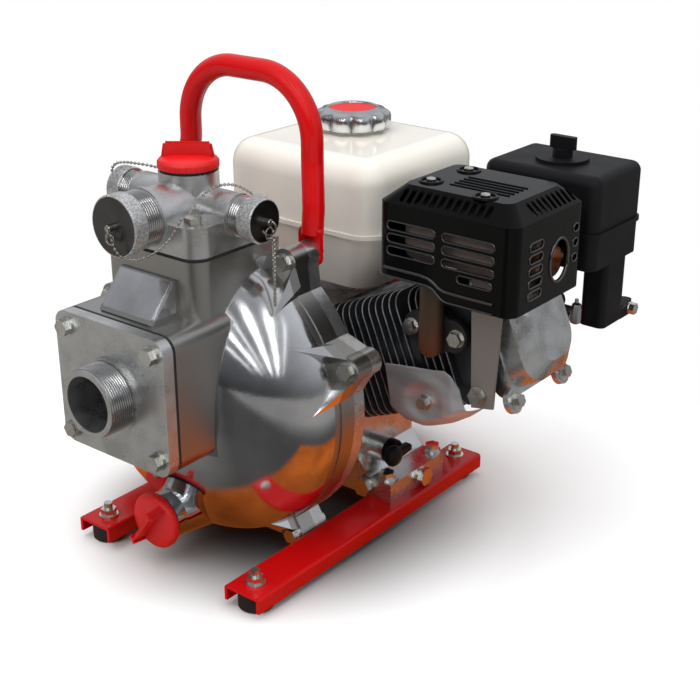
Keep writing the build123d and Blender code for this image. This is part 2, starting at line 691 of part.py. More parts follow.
FIN = 2.2
FIN_STEP = 8.2
with BuildPart() as cylinder:
    slab(along_bore(CYLINDER_FOOT), (0, 0), 100, 59, 8, 10)
    rod(along_bore(CYLINDER_FOOT), (0, 0), 42, DECK - CYLINDER_FOOT)
    for k in range(11):
        slab(along_bore(CYLINDER_FOOT + 14 + k * FIN_STEP), (-1, 0), 112, 88, FIN, 14)
    rod(along_bore(CYLINDER_FOOT - 1), (0, 0), BORE_R, DECK - CYLINDER_FOOT + 2, Mode.SUBTRACT)
cylinder.part.label = "cylinder"
export_step(cylinder.part, "parts/cylinder.step")

PORT = (186, 223)
SPARK_PLUG = (226, 222)
with BuildPart() as cylinder_head:
    slab(along_bore(DECK), (0, 0), 84, 74, HEAD_END - DECK, 8)
    for k in range(4):
        slab(along_bore(DECK + 5 + k * FIN_STEP), (-1, 0), 112, 88, FIN, 14)
    slab(along_bore(HEAD_END - 10), (-2, 0), 108, 88, 10, 16)
    rod(front(60), PORT, 20, 44)
    slab(front(107), (186, 222), 46, 40, 60, 6)
    rod(along_bore(DECK - 1), (0, 0), BORE_R - 2, 12, Mode.SUBTRACT)
    rod(front(17), PORT, 10, 30, Mode.SUBTRACT)
    rod(front(108), (186, 222), 12, 40, Mode.SUBTRACT)
    rod(front(110), SPARK_PLUG, 6.4, 30, Mode.SUBTRACT)
cylinder_head.part.label = "cylinder_head"
export_step(cylinder_head.part, "parts/cylinder_head.step")

HEAD_BOLTS = [(-57, -39.5), (-57, 39.5), (50, -36), (50, 36)]
with BuildPart() as head_cover:
    with BuildSketch(along_bore(HEAD_END)) as flange:
        with Locations((-2, 0)):
            RectangleRounded(104, 84, 16)
        with Locations(*HEAD_BOLTS):
            Circle(11)
    extrude(flange.sketch, amount=5)
    with BuildSketch(along_bore(HEAD_END + 5)) as foot:
        with Locations((-2, 0)):
            RectangleRounded(96, 80, 20)
    with BuildSketch(along_bore(HEAD_END + 22)) as waist:
        with Locations((-3, 0)):
            RectangleRounded(90, 76, 24)
    with BuildSketch(along_bore(HEAD_END + 35)) as crown:
        with Locations((-1, 0)):
            RectangleRounded(66, 56, 22)
    loft([foot.sketch, waist.sketch], ruled=True)
    loft([waist.sketch, crown.sketch], ruled=True)
    with BuildSketch(along_bore(HEAD_END)) as mouth:
        RectangleRounded(74, 62, 12)
    with BuildSketch(along_bore(HEAD_END + 32)) as roof:
        with Locations((-1, 0)):
            RectangleRounded(54, 46, 12)
    loft([mouth.sketch, roof.sketch], mode=Mode.SUBTRACT)
    for at in HEAD_BOLTS:
        rod(along_bore(HEAD_END), at, 3.3, 30, Mode.SUBTRACT)
        rod(along_bore(HEAD_END + 5), at, 8.5, 30, Mode.SUBTRACT)
head_cover.part.label = "head_cover"
export_step(head_cover.part, "parts/head_cover.step")

STAY_BOLT = (233, 176)
with BuildPart() as engine_bolts:
    for at in HEAD_BOLTS:
        bolt(along_bore(HEAD_END + 5), at, 4.5, thread_r=3, flats=10, washer_r=8)
    for at in COVER_SCREWS:
        bolt(front(16), at, 30, thread_r=3, flats=10, washer_r=7)
    bolt(side(126), (81, 32), 14, thread_r=6, flats=17, washer_r=8.8)
    bolt(front(30), (95, 32), 14, thread_r=6, flats=17, washer_r=8.8)
    for x in (PORT[0] - 24, PORT[0] + 24):
        bolt(front(9.6), (x, PORT[1]), 5.6, thread_r=4, flats=12, washer_r=8)
    bolt(front(10), STAY_BOLT, 5.6, thread_r=4, flats=12, washer_r=8)
    bolt(front(12.3), (176, 152), 3.4, thread_r=3, flats=10, washer_r=7)
    bolt(side(272), (206, 207), 9, thread_r=3, flats=10, washer_r=6)
engine_bolts.part.label = "engine_bolts"
export_step(engine_bolts.part, "parts/engine_bolts.step")

with BuildPart() as piston:
    rod(along_bore(114.5), (0, 0), BORE_R - RUNNING_FIT, 40)
    rod(along_bore(114), (0, 0), BORE_R - 6, 34, Mode.SUBTRACT)
piston.part.label = "piston"
export_step(piston.part, "parts/piston.step")

with BuildPart() as spark_plug:
    rod(front(104.5), SPARK_PLUG, 6.3, 17)
    with BuildSketch(front(115)) as hexagon:
        with Locations(SPARK_PLUG):
            RegularPolygon(9, 6, major_radius=False)
    extrude(hexagon.sketch, amount=10.5)
    rod(front(137), SPARK_PLUG, 5, 22)
spark_plug.part.label = "spark_plug"
export_step(spark_plug.part, "parts/spark_plug.step")

with BuildPart() as spark_plug_cap:
    rod(front(150), SPARK_PLUG, 9, 33)
    rod(front(139), SPARK_PLUG, 5 + FREE_FIT, 40, Mode.SUBTRACT)
spark_plug_cap.part.label = "spark_plug_cap"
export_step(spark_plug_cap.part, "parts/spark_plug_cap.step")

# Exhaust -----------------------------------------------------------------------------------------

MUFFLER_LOW, MUFFLER_TOP = 288, 334
with BuildPart() as muffler:
    slab(deck(MUFFLER_LOW), (206, 42), 102, 92, MUFFLER_TOP - MUFFLER_LOW, 16)
    fillet(muffler.edges().filter_by(Plane.XY), 8)
    with BuildSketch(front(15.9)) as flange:
        with Locations(PORT):
            SlotOverall(66, 30)
            Circle(20)
    extrude(flange.sketch, amount=6)
    rod(deck(PORT[1] - 12), (PORT[0], 4), 10.5, MUFFLER_LOW - PORT[1] + 16)
    for x in (PORT[0] - 24, PORT[0] + 24):
        rod(front(18), (x, PORT[1]), 4.3, 12, Mode.SUBTRACT)
    rod(deck(PORT[1] - 9), (PORT[0], 4), 9, MUFFLER_LOW - PORT[1] + 10, Mode.SUBTRACT)
    panel(front(12.5), [(221, 300), (255, 300), (248, 166), (226, 162)], 2.3)
    rod(front(14), STAY_BOLT, 4.3, 8, Mode.SUBTRACT)
muffler.part.label = "muffler"
export_step(muffler.part, "parts/muffler.step")

GUARD_LOW, GUARD_SHOULDER, GUARD_TOP = 262, 338, 352
GUARD_MIDDLE = (207.5, 43.5)
GUARD_REAR_GAP = (207.5, 262)
LOUVRE_STEP = 7.6
GUARD_WIDTH, GUARD_DEPTH = 137, 113
GUARD_SHEET = 1.6
with BuildPart() as guard_hollow:
    inside = (GUARD_WIDTH - 2 * GUARD_SHEET, GUARD_DEPTH - 2 * GUARD_SHEET)
    slab(deck(GUARD_LOW - 1), GUARD_MIDDLE, *inside, GUARD_SHOULDER - GUARD_LOW + 1, 10)
    with BuildSketch(deck(GUARD_SHOULDER)) as shoulder:
        with Locations(GUARD_MIDDLE):
            RectangleRounded(*inside, 10)
    with BuildSketch(deck(GUARD_TOP - GUARD_SHEET)) as top:
        with Locations(GUARD_MIDDLE):
            RectangleRounded(inside[0] - 32, inside[1] - 32, 8)
    loft([shoulder.sketch, top.sketch])

with BuildPart() as muffler_guard:
    slab(deck(GUARD_LOW), GUARD_MIDDLE, GUARD_WIDTH, GUARD_DEPTH, GUARD_SHOULDER - GUARD_LOW, 11)
    with BuildSketch(deck(GUARD_SHOULDER)) as shoulder:
        with Locations(GUARD_MIDDLE):
            RectangleRounded(GUARD_WIDTH, GUARD_DEPTH, 11)
    with BuildSketch(deck(GUARD_TOP)) as top:
        with Locations(GUARD_MIDDLE):
            RectangleRounded(GUARD_WIDTH - 32, GUARD_DEPTH - 32, 9)
    loft([shoulder.sketch, top.sketch])
    add(guard_hollow.part, mode=Mode.SUBTRACT)
    panel(front(120), [(130, 255), (130, 272), (196, 272), (208, 262), (208, 255)], 150, Mode.SUBTRACT)
    slab(front(120), GUARD_REAR_GAP, 116, 60, 26, mode=Mode.SUBTRACT)
    for x, width in ((175, 48), (232, 50)):
        for k in range(3):
            slab(front(0), (x, 319 - k * 11), width, 6.6, 20, 3, Mode.SUBTRACT)
    slab(front(0), (239, 286), 33, 6, 20, 2.9, Mode.SUBTRACT)
    with BuildSketch(side(260)) as outlet_hole:
        with Locations((58.5, 295)):
            Ellipse(14, 18)
    extrude(outlet_hole.sketch, amount=20, mode=Mode.SUBTRACT)
    for k in range(5):
        slab(side(260), (20.5, 317 - k * 10.5), 20, 6.2, 20, 3, Mode.SUBTRACT)
    for z in (317, 304, 290.5):
        slab(side(260), (84, z), 8, 6, 20, 2.5, Mode.SUBTRACT)
    for k in range(12):
        slab(deck(325), (162 + k * LOUVRE_STEP, -5), 4.5, 11, 40, 2, Mode.SUBTRACT)
    for k in range(9):
        slab(deck(325), (268, 23 + k * LOUVRE_STEP), 11, 4.5, 40, 2, Mode.SUBTRACT)
muffler_guard.part.label = "muffler_guard"
export_step(muffler_guard.part, "parts/muffler_guard.step")

with BuildPart() as cylinder_shroud:
    outline = [(132, 179), (196, 187), (209, 166), (221, 163), (221, 152), (172, 121), (149, 125), (126, 148)]
    panel(front(13.9), outline, 1.5)
    panel(front(104), [(149, 125), (172, 121), (221, 152), (221, 153.8), (172, 122.8), (149, 126.8)], 90.1)
    rod(front(20), (176, 152), 3.2, 10, Mode.SUBTRACT)
cylinder_shroud.part.label = "cylinder_shroud"
export_step(cylinder_shroud.part, "parts/cylinder_shroud.step")

# Fuel tank ---------------------------------------------------------------------------------------

TANK_MIDDLE = (9, 117.5)
TANK_WIDTH, TANK_DEPTH = 182, 175
TANK_LOW, TANK_SEAM, TANK_TOP = 227, 282, 350
FUEL_CAP_AT = (-4, 135)


def tank_shape(wall, plane_low, plane_top):
    """The tank's body: a lower half that narrows downwards and an upper half with a soft crown."""
    wide, deep = TANK_WIDTH - 2 * wall, TANK_DEPTH - 2 * wall
    with BuildSketch(deck(plane_low)) as bottom:
        with Locations(TANK_MIDDLE):
            RectangleRounded(wide - 30, deep - 24, 24)
    with BuildSketch(deck(TANK_SEAM)) as seam:
        with Locations(TANK_MIDDLE):
            RectangleRounded(wide, deep, 26)
    loft([bottom.sketch, seam.sketch])
    slab(deck(TANK_SEAM), TANK_MIDDLE, wide, deep, plane_top - TANK_SEAM, 26)


with BuildPart() as tank_hollow:
    tank_shape(2.5, TANK_LOW + 2.5, TANK_TOP - 2.5)
    fillet(tank_hollow.faces().sort_by(Axis.Z)[-1].edges(), 22)

with BuildPart() as fuel_tank:
    tank_shape(0, TANK_LOW, TANK_TOP)
    fillet(fuel_tank.faces().sort_by(Axis.Z)[-1].edges(), 24)
    slab(deck(TANK_SEAM - 2), TANK_MIDDLE, TANK_WIDTH + 5, TANK_DEPTH + 5, 4, 28)
    rod(deck(TANK_TOP - 6), FUEL_CAP_AT, 26, 14)
    add(tank_hollow.part, mode=Mode.SUBTRACT)
    rod(deck(TANK_TOP - 20), FUEL_CAP_AT, 22, 40, Mode.SUBTRACT)
fuel_tank.part.label = "fuel_tank"
export_step(fuel_tank.part, "parts/fuel_tank.step")

with BuildPart() as fuel_cap:
    rod(deck(353.5), FUEL_CAP_AT, 33, 17)
    with BuildSketch(deck(353.5)) as lobes:
        with Locations(FUEL_CAP_AT):
            with PolarLocations(30, 8):
                Circle(8)
    extrude(lobes.sketch, amount=17)
    rod(deck(370.5), FUEL_CAP_AT, 31, 3)
    rod(deck(353), FUEL_CAP_AT, 26.5, 8, Mode.SUBTRACT)
    rod(deck(340), FUEL_CAP_AT, 21.5, 22)
fuel_cap.part.label = "fuel_cap"
export_step(fuel_cap.part, "parts/fuel_cap.step")

# Air cleaner and carburettor ---------------------------------------------------------------------

FILTER_MIDDLE = (220.5, 156)
FILTER_LOW, FILTER_SEAM, FILTER_TOP = 268, 298, 352
FILTER_KNOB = (220, 154)
FILTER_STUD_TOP = FILTER_TOP + 6
ELBOW_LOW = 203

with BuildPart() as air_cleaner_base:
    slab(deck(FILTER_LOW), FILTER_MIDDLE, 117, 86, FILTER_SEAM - FILTER_LOW, 10)
    slab(deck(ELBOW_LOW), (262.5, 168.5), 25, 39, FILTER_LOW - ELBOW_LOW, 6)
    slab(deck(200), (266, 200), 12, 28, 14, 5)
    slab(deck(FILTER_LOW + 3), FILTER_MIDDLE, 111, 80, 60, 8, Mode.SUBTRACT)
    rod(deck(FILTER_LOW), FILTER_KNOB, 6, 60)
    rod(deck(FILTER_LOW), FILTER_KNOB, 3, FILTER_STUD_TOP - FILTER_LOW)
    rod(deck(FILTER_LOW - 1), (190, 165), 13, 10, Mode.SUBTRACT)
    rod(side(273), (206, 207), 3.2, -12, Mode.SUBTRACT)
air_cleaner_base.part.label = "air_cleaner_base"
export_step(air_cleaner_base.part, "parts/air_cleaner_base.step")

with BuildPart() as air_cleaner_cover:
    slab(deck(FILTER_SEAM), FILTER_MIDDLE, 121, 90, 4, 12)
    slab(deck(FILTER_SEAM), FILTER_MIDDLE, 117, 86, FILTER_TOP - FILTER_SEAM, 10)
    fillet(air_cleaner_cover.faces().sort_by(Axis.Z)[-1].edges(), 9)
    rod(deck(FILTER_TOP - 2), FILTER_KNOB, 24, 5)
    slab(deck(FILTER_SEAM), FILTER_MIDDLE, 112, 81, FILTER_TOP - FILTER_SEAM - 3, 8, Mode.SUBTRACT)
    rod(deck(FILTER_SEAM), FILTER_KNOB, 3.3, 70, Mode.SUBTRACT)
air_cleaner_cover.part.label = "air_cleaner_cover"
export_step(air_cleaner_cover.part, "parts/air_cleaner_cover.step")

with BuildPart() as air_cleaner_element:
    tube(deck(FILTER_LOW + 4), FILTER_KNOB, 36, 24, 62)
air_cleaner_element.part.label = "air_cleaner_element"
export_step(air_cleaner_element.part, "parts/air_cleaner_element.step")

with BuildPart() as air_cleaner_knob:
    rod(deck(FILTER_TOP + 3.3), FILTER_KNOB, 9, 7)
    slab(deck(FILTER_TOP + 10.3), FILTER_KNOB, 26, 7, 11, 3)
    rod(deck(FILTER_TOP), FILTER_KNOB, 3.1, 6, Mode.SUBTRACT)
air_cleaner_knob.part.label = "air_cleaner_knob"
export_step(air_cleaner_knob.part, "parts/air_cleaner_knob.step")

with BuildPart() as carburetor:
    slab(front(148), (188, 222), 42, 44, 41, 4)
    rod(deck(186), (188, 128), 17, 20)
    rod(deck(222), (190, 165), 15, FILTER_LOW - 222)
    slab(front(172), (190, 226), 26, 26, 30, 3)
    rod(deck(230), (190, 165), 12, 50, Mode.SUBTRACT)
    rod(deck(240), (176, 128), 3, 16)
    rod(side(205), (120, 235), 2.5, 10)
    rod(side(205), (138, 208), 2.5, 10)
carburetor.part.label = "carburetor"
export_step(carburetor.part, "parts/carburetor.step")


def lever(plane, pivot, tip, pin_r):
    """A flat lever with an eye round its pin and a thumb pad on its tip."""
    with BuildSketch(plane) as blade:
        with Locations(pivot):
            Circle(6)
        with BuildLine():
            across = Vector(tip[1] - pivot[1], pivot[0] - tip[0]).normalized() * 3.5
            Polyline(
                (pivot[0] + across.X, pivot[1] + across.Y),
                (tip[0] + across.X, tip[1] + across.Y),
                (tip[0] - across.X, tip[1] - across.Y),
                (pivot[0] - across.X, pivot[1] - across.Y),
                close=True,
            )
        make_face()
    extrude(blade.sketch, amount=2.5)
    rod(plane, tip, 5, 6)
    rod(plane.offset(-1), pivot, pin_r + RUNNING_FIT, 10, Mode.SUBTRACT)


with BuildPart() as throttle_lever:
    lever(deck(245), (176, 128), (226, 118), 3)
throttle_lever.part.label = "throttle_lever"
export_step(throttle_lever.part, "parts/throttle_lever.step")

with BuildPart() as choke_lever:
    lever(side(210), (120, 235), (146, 240), 2.5)
choke_lever.part.label = "choke_lever"
export_step(choke_lever.part, "parts/choke_lever.step")

with BuildPart() as fuel_valve_lever:
    lever(side(210), (138, 208), (164, 206), 2.5)
fuel_valve_lever.part.label = "fuel_valve_lever"
export_step(fuel_valve_lever.part, "parts/fuel_valve_lever.step")

# Fan, recoil starter and small controls ----------------------------------------------------------

with BuildPart() as fan_cover:
    rod(front(FAN_BACK), (0, CRANK_Z), FAN_RADIUS, FAN_BACK - FAN_FRONT - 0.5)
    slab(front(150), (95, 170), 110, 76, 31.5, 12)
    rod(front(FAN_BACK - 2.5), (0, CRANK_Z), FAN_RADIUS - 2.5, FAN_BACK - FAN_FRONT, Mode.SUBTRACT)
    slab(front(147.5), (95, 170), 105, 71, 40, 10, Mode.SUBTRACT)
    rod(front(FAN_BACK + 1), (0, CRANK_Z), 66, 10, Mode.SUBTRACT)
    rod(front(151), (125, 180), 6.3, 5, Mode.SUBTRACT)
fan_cover.part.label = "fan_cover"
export_step(fan_cover.part, "parts/fan_cover.step")

RECOIL_RADIUS = 78
with BuildPart() as recoil_cover:
    rod(front(RECOIL_END), (0, CRANK_Z), RECOIL_RADIUS, RECOIL_END - FAN_BACK)
    fillet(recoil_cover.edges().group_by(Axis.Y)[-1], 10)
    rod(front(RECOIL_END - 3), (0, CRANK_Z), RECOIL_RADIUS - 3, 40, Mode.SUBTRACT)
    rod(front(RECOIL_END - 1), (0, CRANK_Z), 6, 20)
    with BuildSketch(front(RECOIL_END + 1)) as vents:
        with Locations((0, CRANK_Z)):
            with PolarLocations(48, 10):
                SlotOverall(34, 8)
    extrude(vents.sketch, amount=6, mode=Mode.SUBTRACT)
    rod(side(-90), (202, CRANK_Z + ROPE_RADIUS), 4, 50, Mode.SUBTRACT)
recoil_cover.part.label = "recoil_cover"
export_step(recoil_cover.part, "parts/recoil_cover.step")

with BuildPart() as recoil_reel:
    rod(front(208), (0, CRANK_Z), 46, 12)
    rod(front(209), (0, CRANK_Z), 6 + RUNNING_FIT, 20, Mode.SUBTRACT)
recoil_reel.part.label = "recoil_reel"
export_step(recoil_reel.part, "parts/recoil_reel.step")

with BuildPart() as starter_grip:
    rod(side(-88), (202, CRANK_Z + ROPE_RADIUS), 2, 86)
    slab(side(-98), (202, CRANK_Z + ROPE_RADIUS), 34, 15, 11, 7)
starter_grip.part.label = "starter_grip"
export_step(starter_grip.part, "parts/starter_grip.step")

DIPSTICK = (55, 64)
with BuildPart() as oil_dipstick:
    rod(side(105.3), DIPSTICK, 12, 8)
    slab(side(113.3), DIPSTICK, 34, 9, 10, 4)
    rod(side(80), DIPSTICK, 8.9, 25.5)
oil_dipstick.part.label = "oil_dipstick"
export_step(oil_dipstick.part, "parts/oil_dipstick.step")

with BuildPart() as dipstick_seal:
    tube(side(105), DIPSTICK, 11.9, 9.2, 0.25)
dipstick_seal.part.label = "dipstick_seal"
export_step(dipstick_seal.part, "parts/dipstick_seal.step")

with BuildPart() as engine_switch:
    rod(front(158), (125, 180), 10, 7.7)
    slab(front(166), (125, 180), 18, 5, 8, 2)
    rod(front(151), (125, 180), 6, 3.4)
engine_switch.part.label = "engine_switch"
export_step(engine_switch.part, "parts/engine_switch.step")
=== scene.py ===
import json
from math import atan2, cos, hypot, pi, radians, sin, sqrt

import bmesh
import bpy
from mathutils import Matrix, Vector


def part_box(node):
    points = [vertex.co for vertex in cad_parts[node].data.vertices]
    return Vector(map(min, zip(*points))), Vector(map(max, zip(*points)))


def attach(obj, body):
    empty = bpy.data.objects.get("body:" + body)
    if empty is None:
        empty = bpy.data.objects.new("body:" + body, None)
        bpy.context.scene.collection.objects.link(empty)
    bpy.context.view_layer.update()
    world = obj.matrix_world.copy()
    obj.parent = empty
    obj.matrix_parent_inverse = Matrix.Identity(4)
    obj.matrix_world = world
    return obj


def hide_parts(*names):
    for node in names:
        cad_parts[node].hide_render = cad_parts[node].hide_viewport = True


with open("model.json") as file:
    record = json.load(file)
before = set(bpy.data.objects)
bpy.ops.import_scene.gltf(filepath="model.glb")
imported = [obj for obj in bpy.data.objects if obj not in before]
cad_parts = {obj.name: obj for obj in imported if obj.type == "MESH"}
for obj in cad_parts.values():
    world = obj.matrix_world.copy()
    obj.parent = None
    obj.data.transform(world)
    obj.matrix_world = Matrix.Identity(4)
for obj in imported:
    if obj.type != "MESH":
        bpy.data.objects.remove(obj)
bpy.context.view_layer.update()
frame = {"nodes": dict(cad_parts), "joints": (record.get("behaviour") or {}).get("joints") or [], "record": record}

# Portable fire pump. Places are in millimetres: x from the crankshaft's axis, y and z from the
# row's origin. at() turns them into metres in the row frame.

JOINTS = {joint["name"]: joint for joint in frame["joints"]}
NODES = frame["nodes"]
CRANK_X = JOINTS["crank_spin"]["pos_m"][0]
MM = 0.001
X, Y, Z = Vector((1, 0, 0)), Vector((0, 1, 0)), Vector((0, 0, 1))


def at(x, y, z):
    """A point in the row frame, from millimetres."""
    return Vector((CRANK_X + x * MM, y * MM, z * MM))


# Camera -------------------------------------------------------------------------------------------

CAMERA_AT = at(780.1, -855.4, 649)
LOOK = Vector((-0.5731, 0.7208, -0.3899))
LENS = 67


def make_camera():
    camera = bpy.data.cameras.new("camera")
    camera.lens = LENS
    camera.sensor_width = 36
    camera.dof.use_dof = False
    view = bpy.data.objects.new("camera", camera)
    view.location = CAMERA_AT
    view.rotation_euler = LOOK.to_track_quat("-Z", "Y").to_euler()
    bpy.context.scene.collection.objects.link(view)
    bpy.context.scene.camera = view


# Studio -------------------------------------------------------------------------------------------

AMBIENT = 0.24
FLOOR_HALF = 6
MAT_LEFT, MAT_RIGHT = -0.46, 0.26
MAT_FRONT, MAT_BACK = -0.18, 0.6
SHADOW_AT = (-0.03, -0.01, 0)
SHADOW_REACH = 0.40
MAT_EDGE = 0.012
MAT_DARK, MAT_LIGHT = (0.34, 0.075, 0.014), (0.72, 0.17, 0.03)
# how the floor that metal mirrors dims under the pump: a painted shadow in the reflection
REFLECTED_SHADOW = (0.06, 0.24, 0.3, 1)
OPEN_FLOOR = (0.34, 0.62)
WALL_GREYS = [(0.0, 0.14), (0.12, 0.26), (0.34, 0.44), (0.42, 0.46), (0.62, 0.46), (1.0, 0.42)]
TUBE_FADES = ((0.35, 0.8, 0, 1), (2.6, 5.0, 1, 0))


def area_light(name, place, target, size, size_y, power, colour=(1, 1, 1)):
    light = bpy.data.lights.new(name, "AREA")
    light.shape = "RECTANGLE"
    light.size = size
    light.size_y = size_y
    light.energy = power
    light.color = colour
    lamp = bpy.data.objects.new(name, light)
    lamp.location = place
    lamp.rotation_euler = (Vector(target) - Vector(place)).to_track_quat("-Z", "Y").to_euler()
    bpy.context.scene.collection.objects.link(lamp)


def ramp_of(nodes, stops):
    """A colour ramp with the given (position, colour) stops."""
    ramp = nodes.new("ShaderNodeValToRGB")
    elements = ramp.color_ramp.elements
    elements[0].position, elements[0].color = stops[0][0], (*stops[0][1], 1)
    elements[1].position, elements[1].color = stops[-1][0], (*stops[-1][1], 1)
    for position, colour in stops[1:-1]:
        elements.new(position).color = (*colour, 1)
    return ramp


def arithmetic(tree, operation, *terms):
    """A maths node's output. Each term is a number or another node's socket."""
    node = tree.nodes.new("ShaderNodeMath")
    node.operation = operation
    for slot, term in zip(node.inputs, terms):
        if isinstance(term, (int, float)):
            slot.default_value = term
        else:
            tree.links.new(term, slot)
    return node.outputs[0]


# Ceiling tubes: how far each passes from overhead, its width and its strength
TUBES = (
    (-1.62, 0.07, 2.0), (-1.05, 0.08, 3.2), (-0.70, 0.04, 1.6), (-0.30, 0.07, 3.6), (0.14, 0.07, 3.2),
    (0.5, 0.04, 1.2)
)
TUBES_AT = radians(-45)


def painted_hall(tree):
    """What polished metal mirrors: grey walls by height and turn, and a row of ceiling tubes."""
    nodes, links = tree.nodes, tree.links
    place = nodes.new("ShaderNodeTexCoord")
    split = nodes.new("ShaderNodeSeparateXYZ")
    links.new(place.outputs["Generated"], split.inputs[0])
    across, along, height = split.outputs
    walls = ramp_of(nodes, [(position, (g * 0.98, g, g * 1.04)) for position, g in WALL_GREYS])
    links.new(height, walls.inputs[0])

    # dark ahead of the pump and bright behind it
    ahead = arithmetic(
        tree, "ADD", arithmetic(tree, "MULTIPLY", across, 0.1), arithmetic(tree, "MULTIPLY", along, -0.99)
    )
    front_dark = nodes.new("ShaderNodeMapRange")
    front_dark.interpolation_type = "SMOOTHSTEP"
    front_dark.inputs["From Min"].default_value = -0.55
    front_dark.inputs["From Max"].default_value = 0.9
    front_dark.inputs["To Min"].default_value = 1.3
    front_dark.inputs["To Max"].default_value = 0.36
    links.new(ahead, front_dark.inputs["Value"])

    # the tubes, as straight lines on a ceiling
    lift = arithmetic(tree, "MAXIMUM", height, 0.02)
    c, s = cos(TUBES_AT), sin(TUBES_AT)
    run = arithmetic(
        tree, "ADD", arithmetic(tree, "MULTIPLY", across, c), arithmetic(tree, "MULTIPLY", along, s)
    )
    aside = arithmetic(
        tree, "ADD", arithmetic(tree, "MULTIPLY", across, -s), arithmetic(tree, "MULTIPLY", along, c)
    )
    run = arithmetic(tree, "DIVIDE", run, lift)
    aside = arithmetic(tree, "DIVIDE", aside, lift)
    shine = None
    for offset, width, strength in TUBES:
        gap = arithmetic(tree, "ABSOLUTE", arithmetic(tree, "SUBTRACT", aside, offset))
        band = nodes.new("ShaderNodeMapRange")
        band.interpolation_type = "SMOOTHSTEP"
        band.inputs["From Min"].default_value = width * 0.45
        band.inputs["From Max"].default_value = width * 1.5
        band.inputs["To Min"].default_value = strength
        band.inputs["To Max"].default_value = 0
        links.new(gap, band.inputs["Value"])
        shine = band.outputs[0] if shine is None else arithmetic(tree, "ADD", shine, band.outputs[0])
    for low, high, start, end in TUBE_FADES:
        fade = nodes.new("ShaderNodeMapRange")
        fade.interpolation_type = "SMOOTHSTEP"
        for name, value in zip(("From Min", "From Max", "To Min", "To Max"), (low, high, start, end)):
            fade.inputs[name].default_value = value
        links.new(run, fade.inputs["Value"])
        shine = arithmetic(tree, "MULTIPLY", shine, fade.outputs[0])

    hall = nodes.new("ShaderNodeBackground")
    links.new(walls.outputs[0], hall.inputs["Color"])
    links.new(front_dark.outputs[0], hall.inputs["Strength"])
    tubes = nodes.new("ShaderNodeBackground")
    tubes.inputs["Color"].default_value = (1, 1, 1, 1)
    links.new(shine, tubes.inputs["Strength"])
    both = nodes.new("ShaderNodeAddShader")
    links.new(hall.outputs[0], both.inputs[0])
    links.new(tubes.outputs[0], both.inputs[1])
    return both.outputs[0]


def make_world():
    """A white room that lights matt surfaces a little, and a painted hall for polished metal."""
    world = bpy.data.worlds.new("studio")
    bpy.context.scene.world = world
    world.use_nodes = True
    tree = world.node_tree
    nodes, links = tree.nodes, tree.links
    nodes.clear()
    white = nodes.new("ShaderNodeBackground")
    white.inputs["Color"].default_value = (1, 1, 1, 1)
    path = nodes.new("ShaderNodeLightPath")
    strength = nodes.new("ShaderNodeMapRange")
    strength.inputs["To Min"].default_value = AMBIENT
    strength.inputs["To Max"].default_value = 1.05
    links.new(path.outputs["Is Camera Ray"], strength.inputs["Value"])
    links.new(strength.outputs[0], white.inputs["Strength"])
    mix = nodes.new("ShaderNodeMixShader")
    links.new(path.outputs["Is Glossy Ray"], mix.inputs[0])
    links.new(white.outputs[0], mix.inputs[1])
    links.new(painted_hall(tree), mix.inputs[2])
    out = nodes.new("ShaderNodeOutputWorld")
    links.new(mix.outputs[0], out.inputs[0])


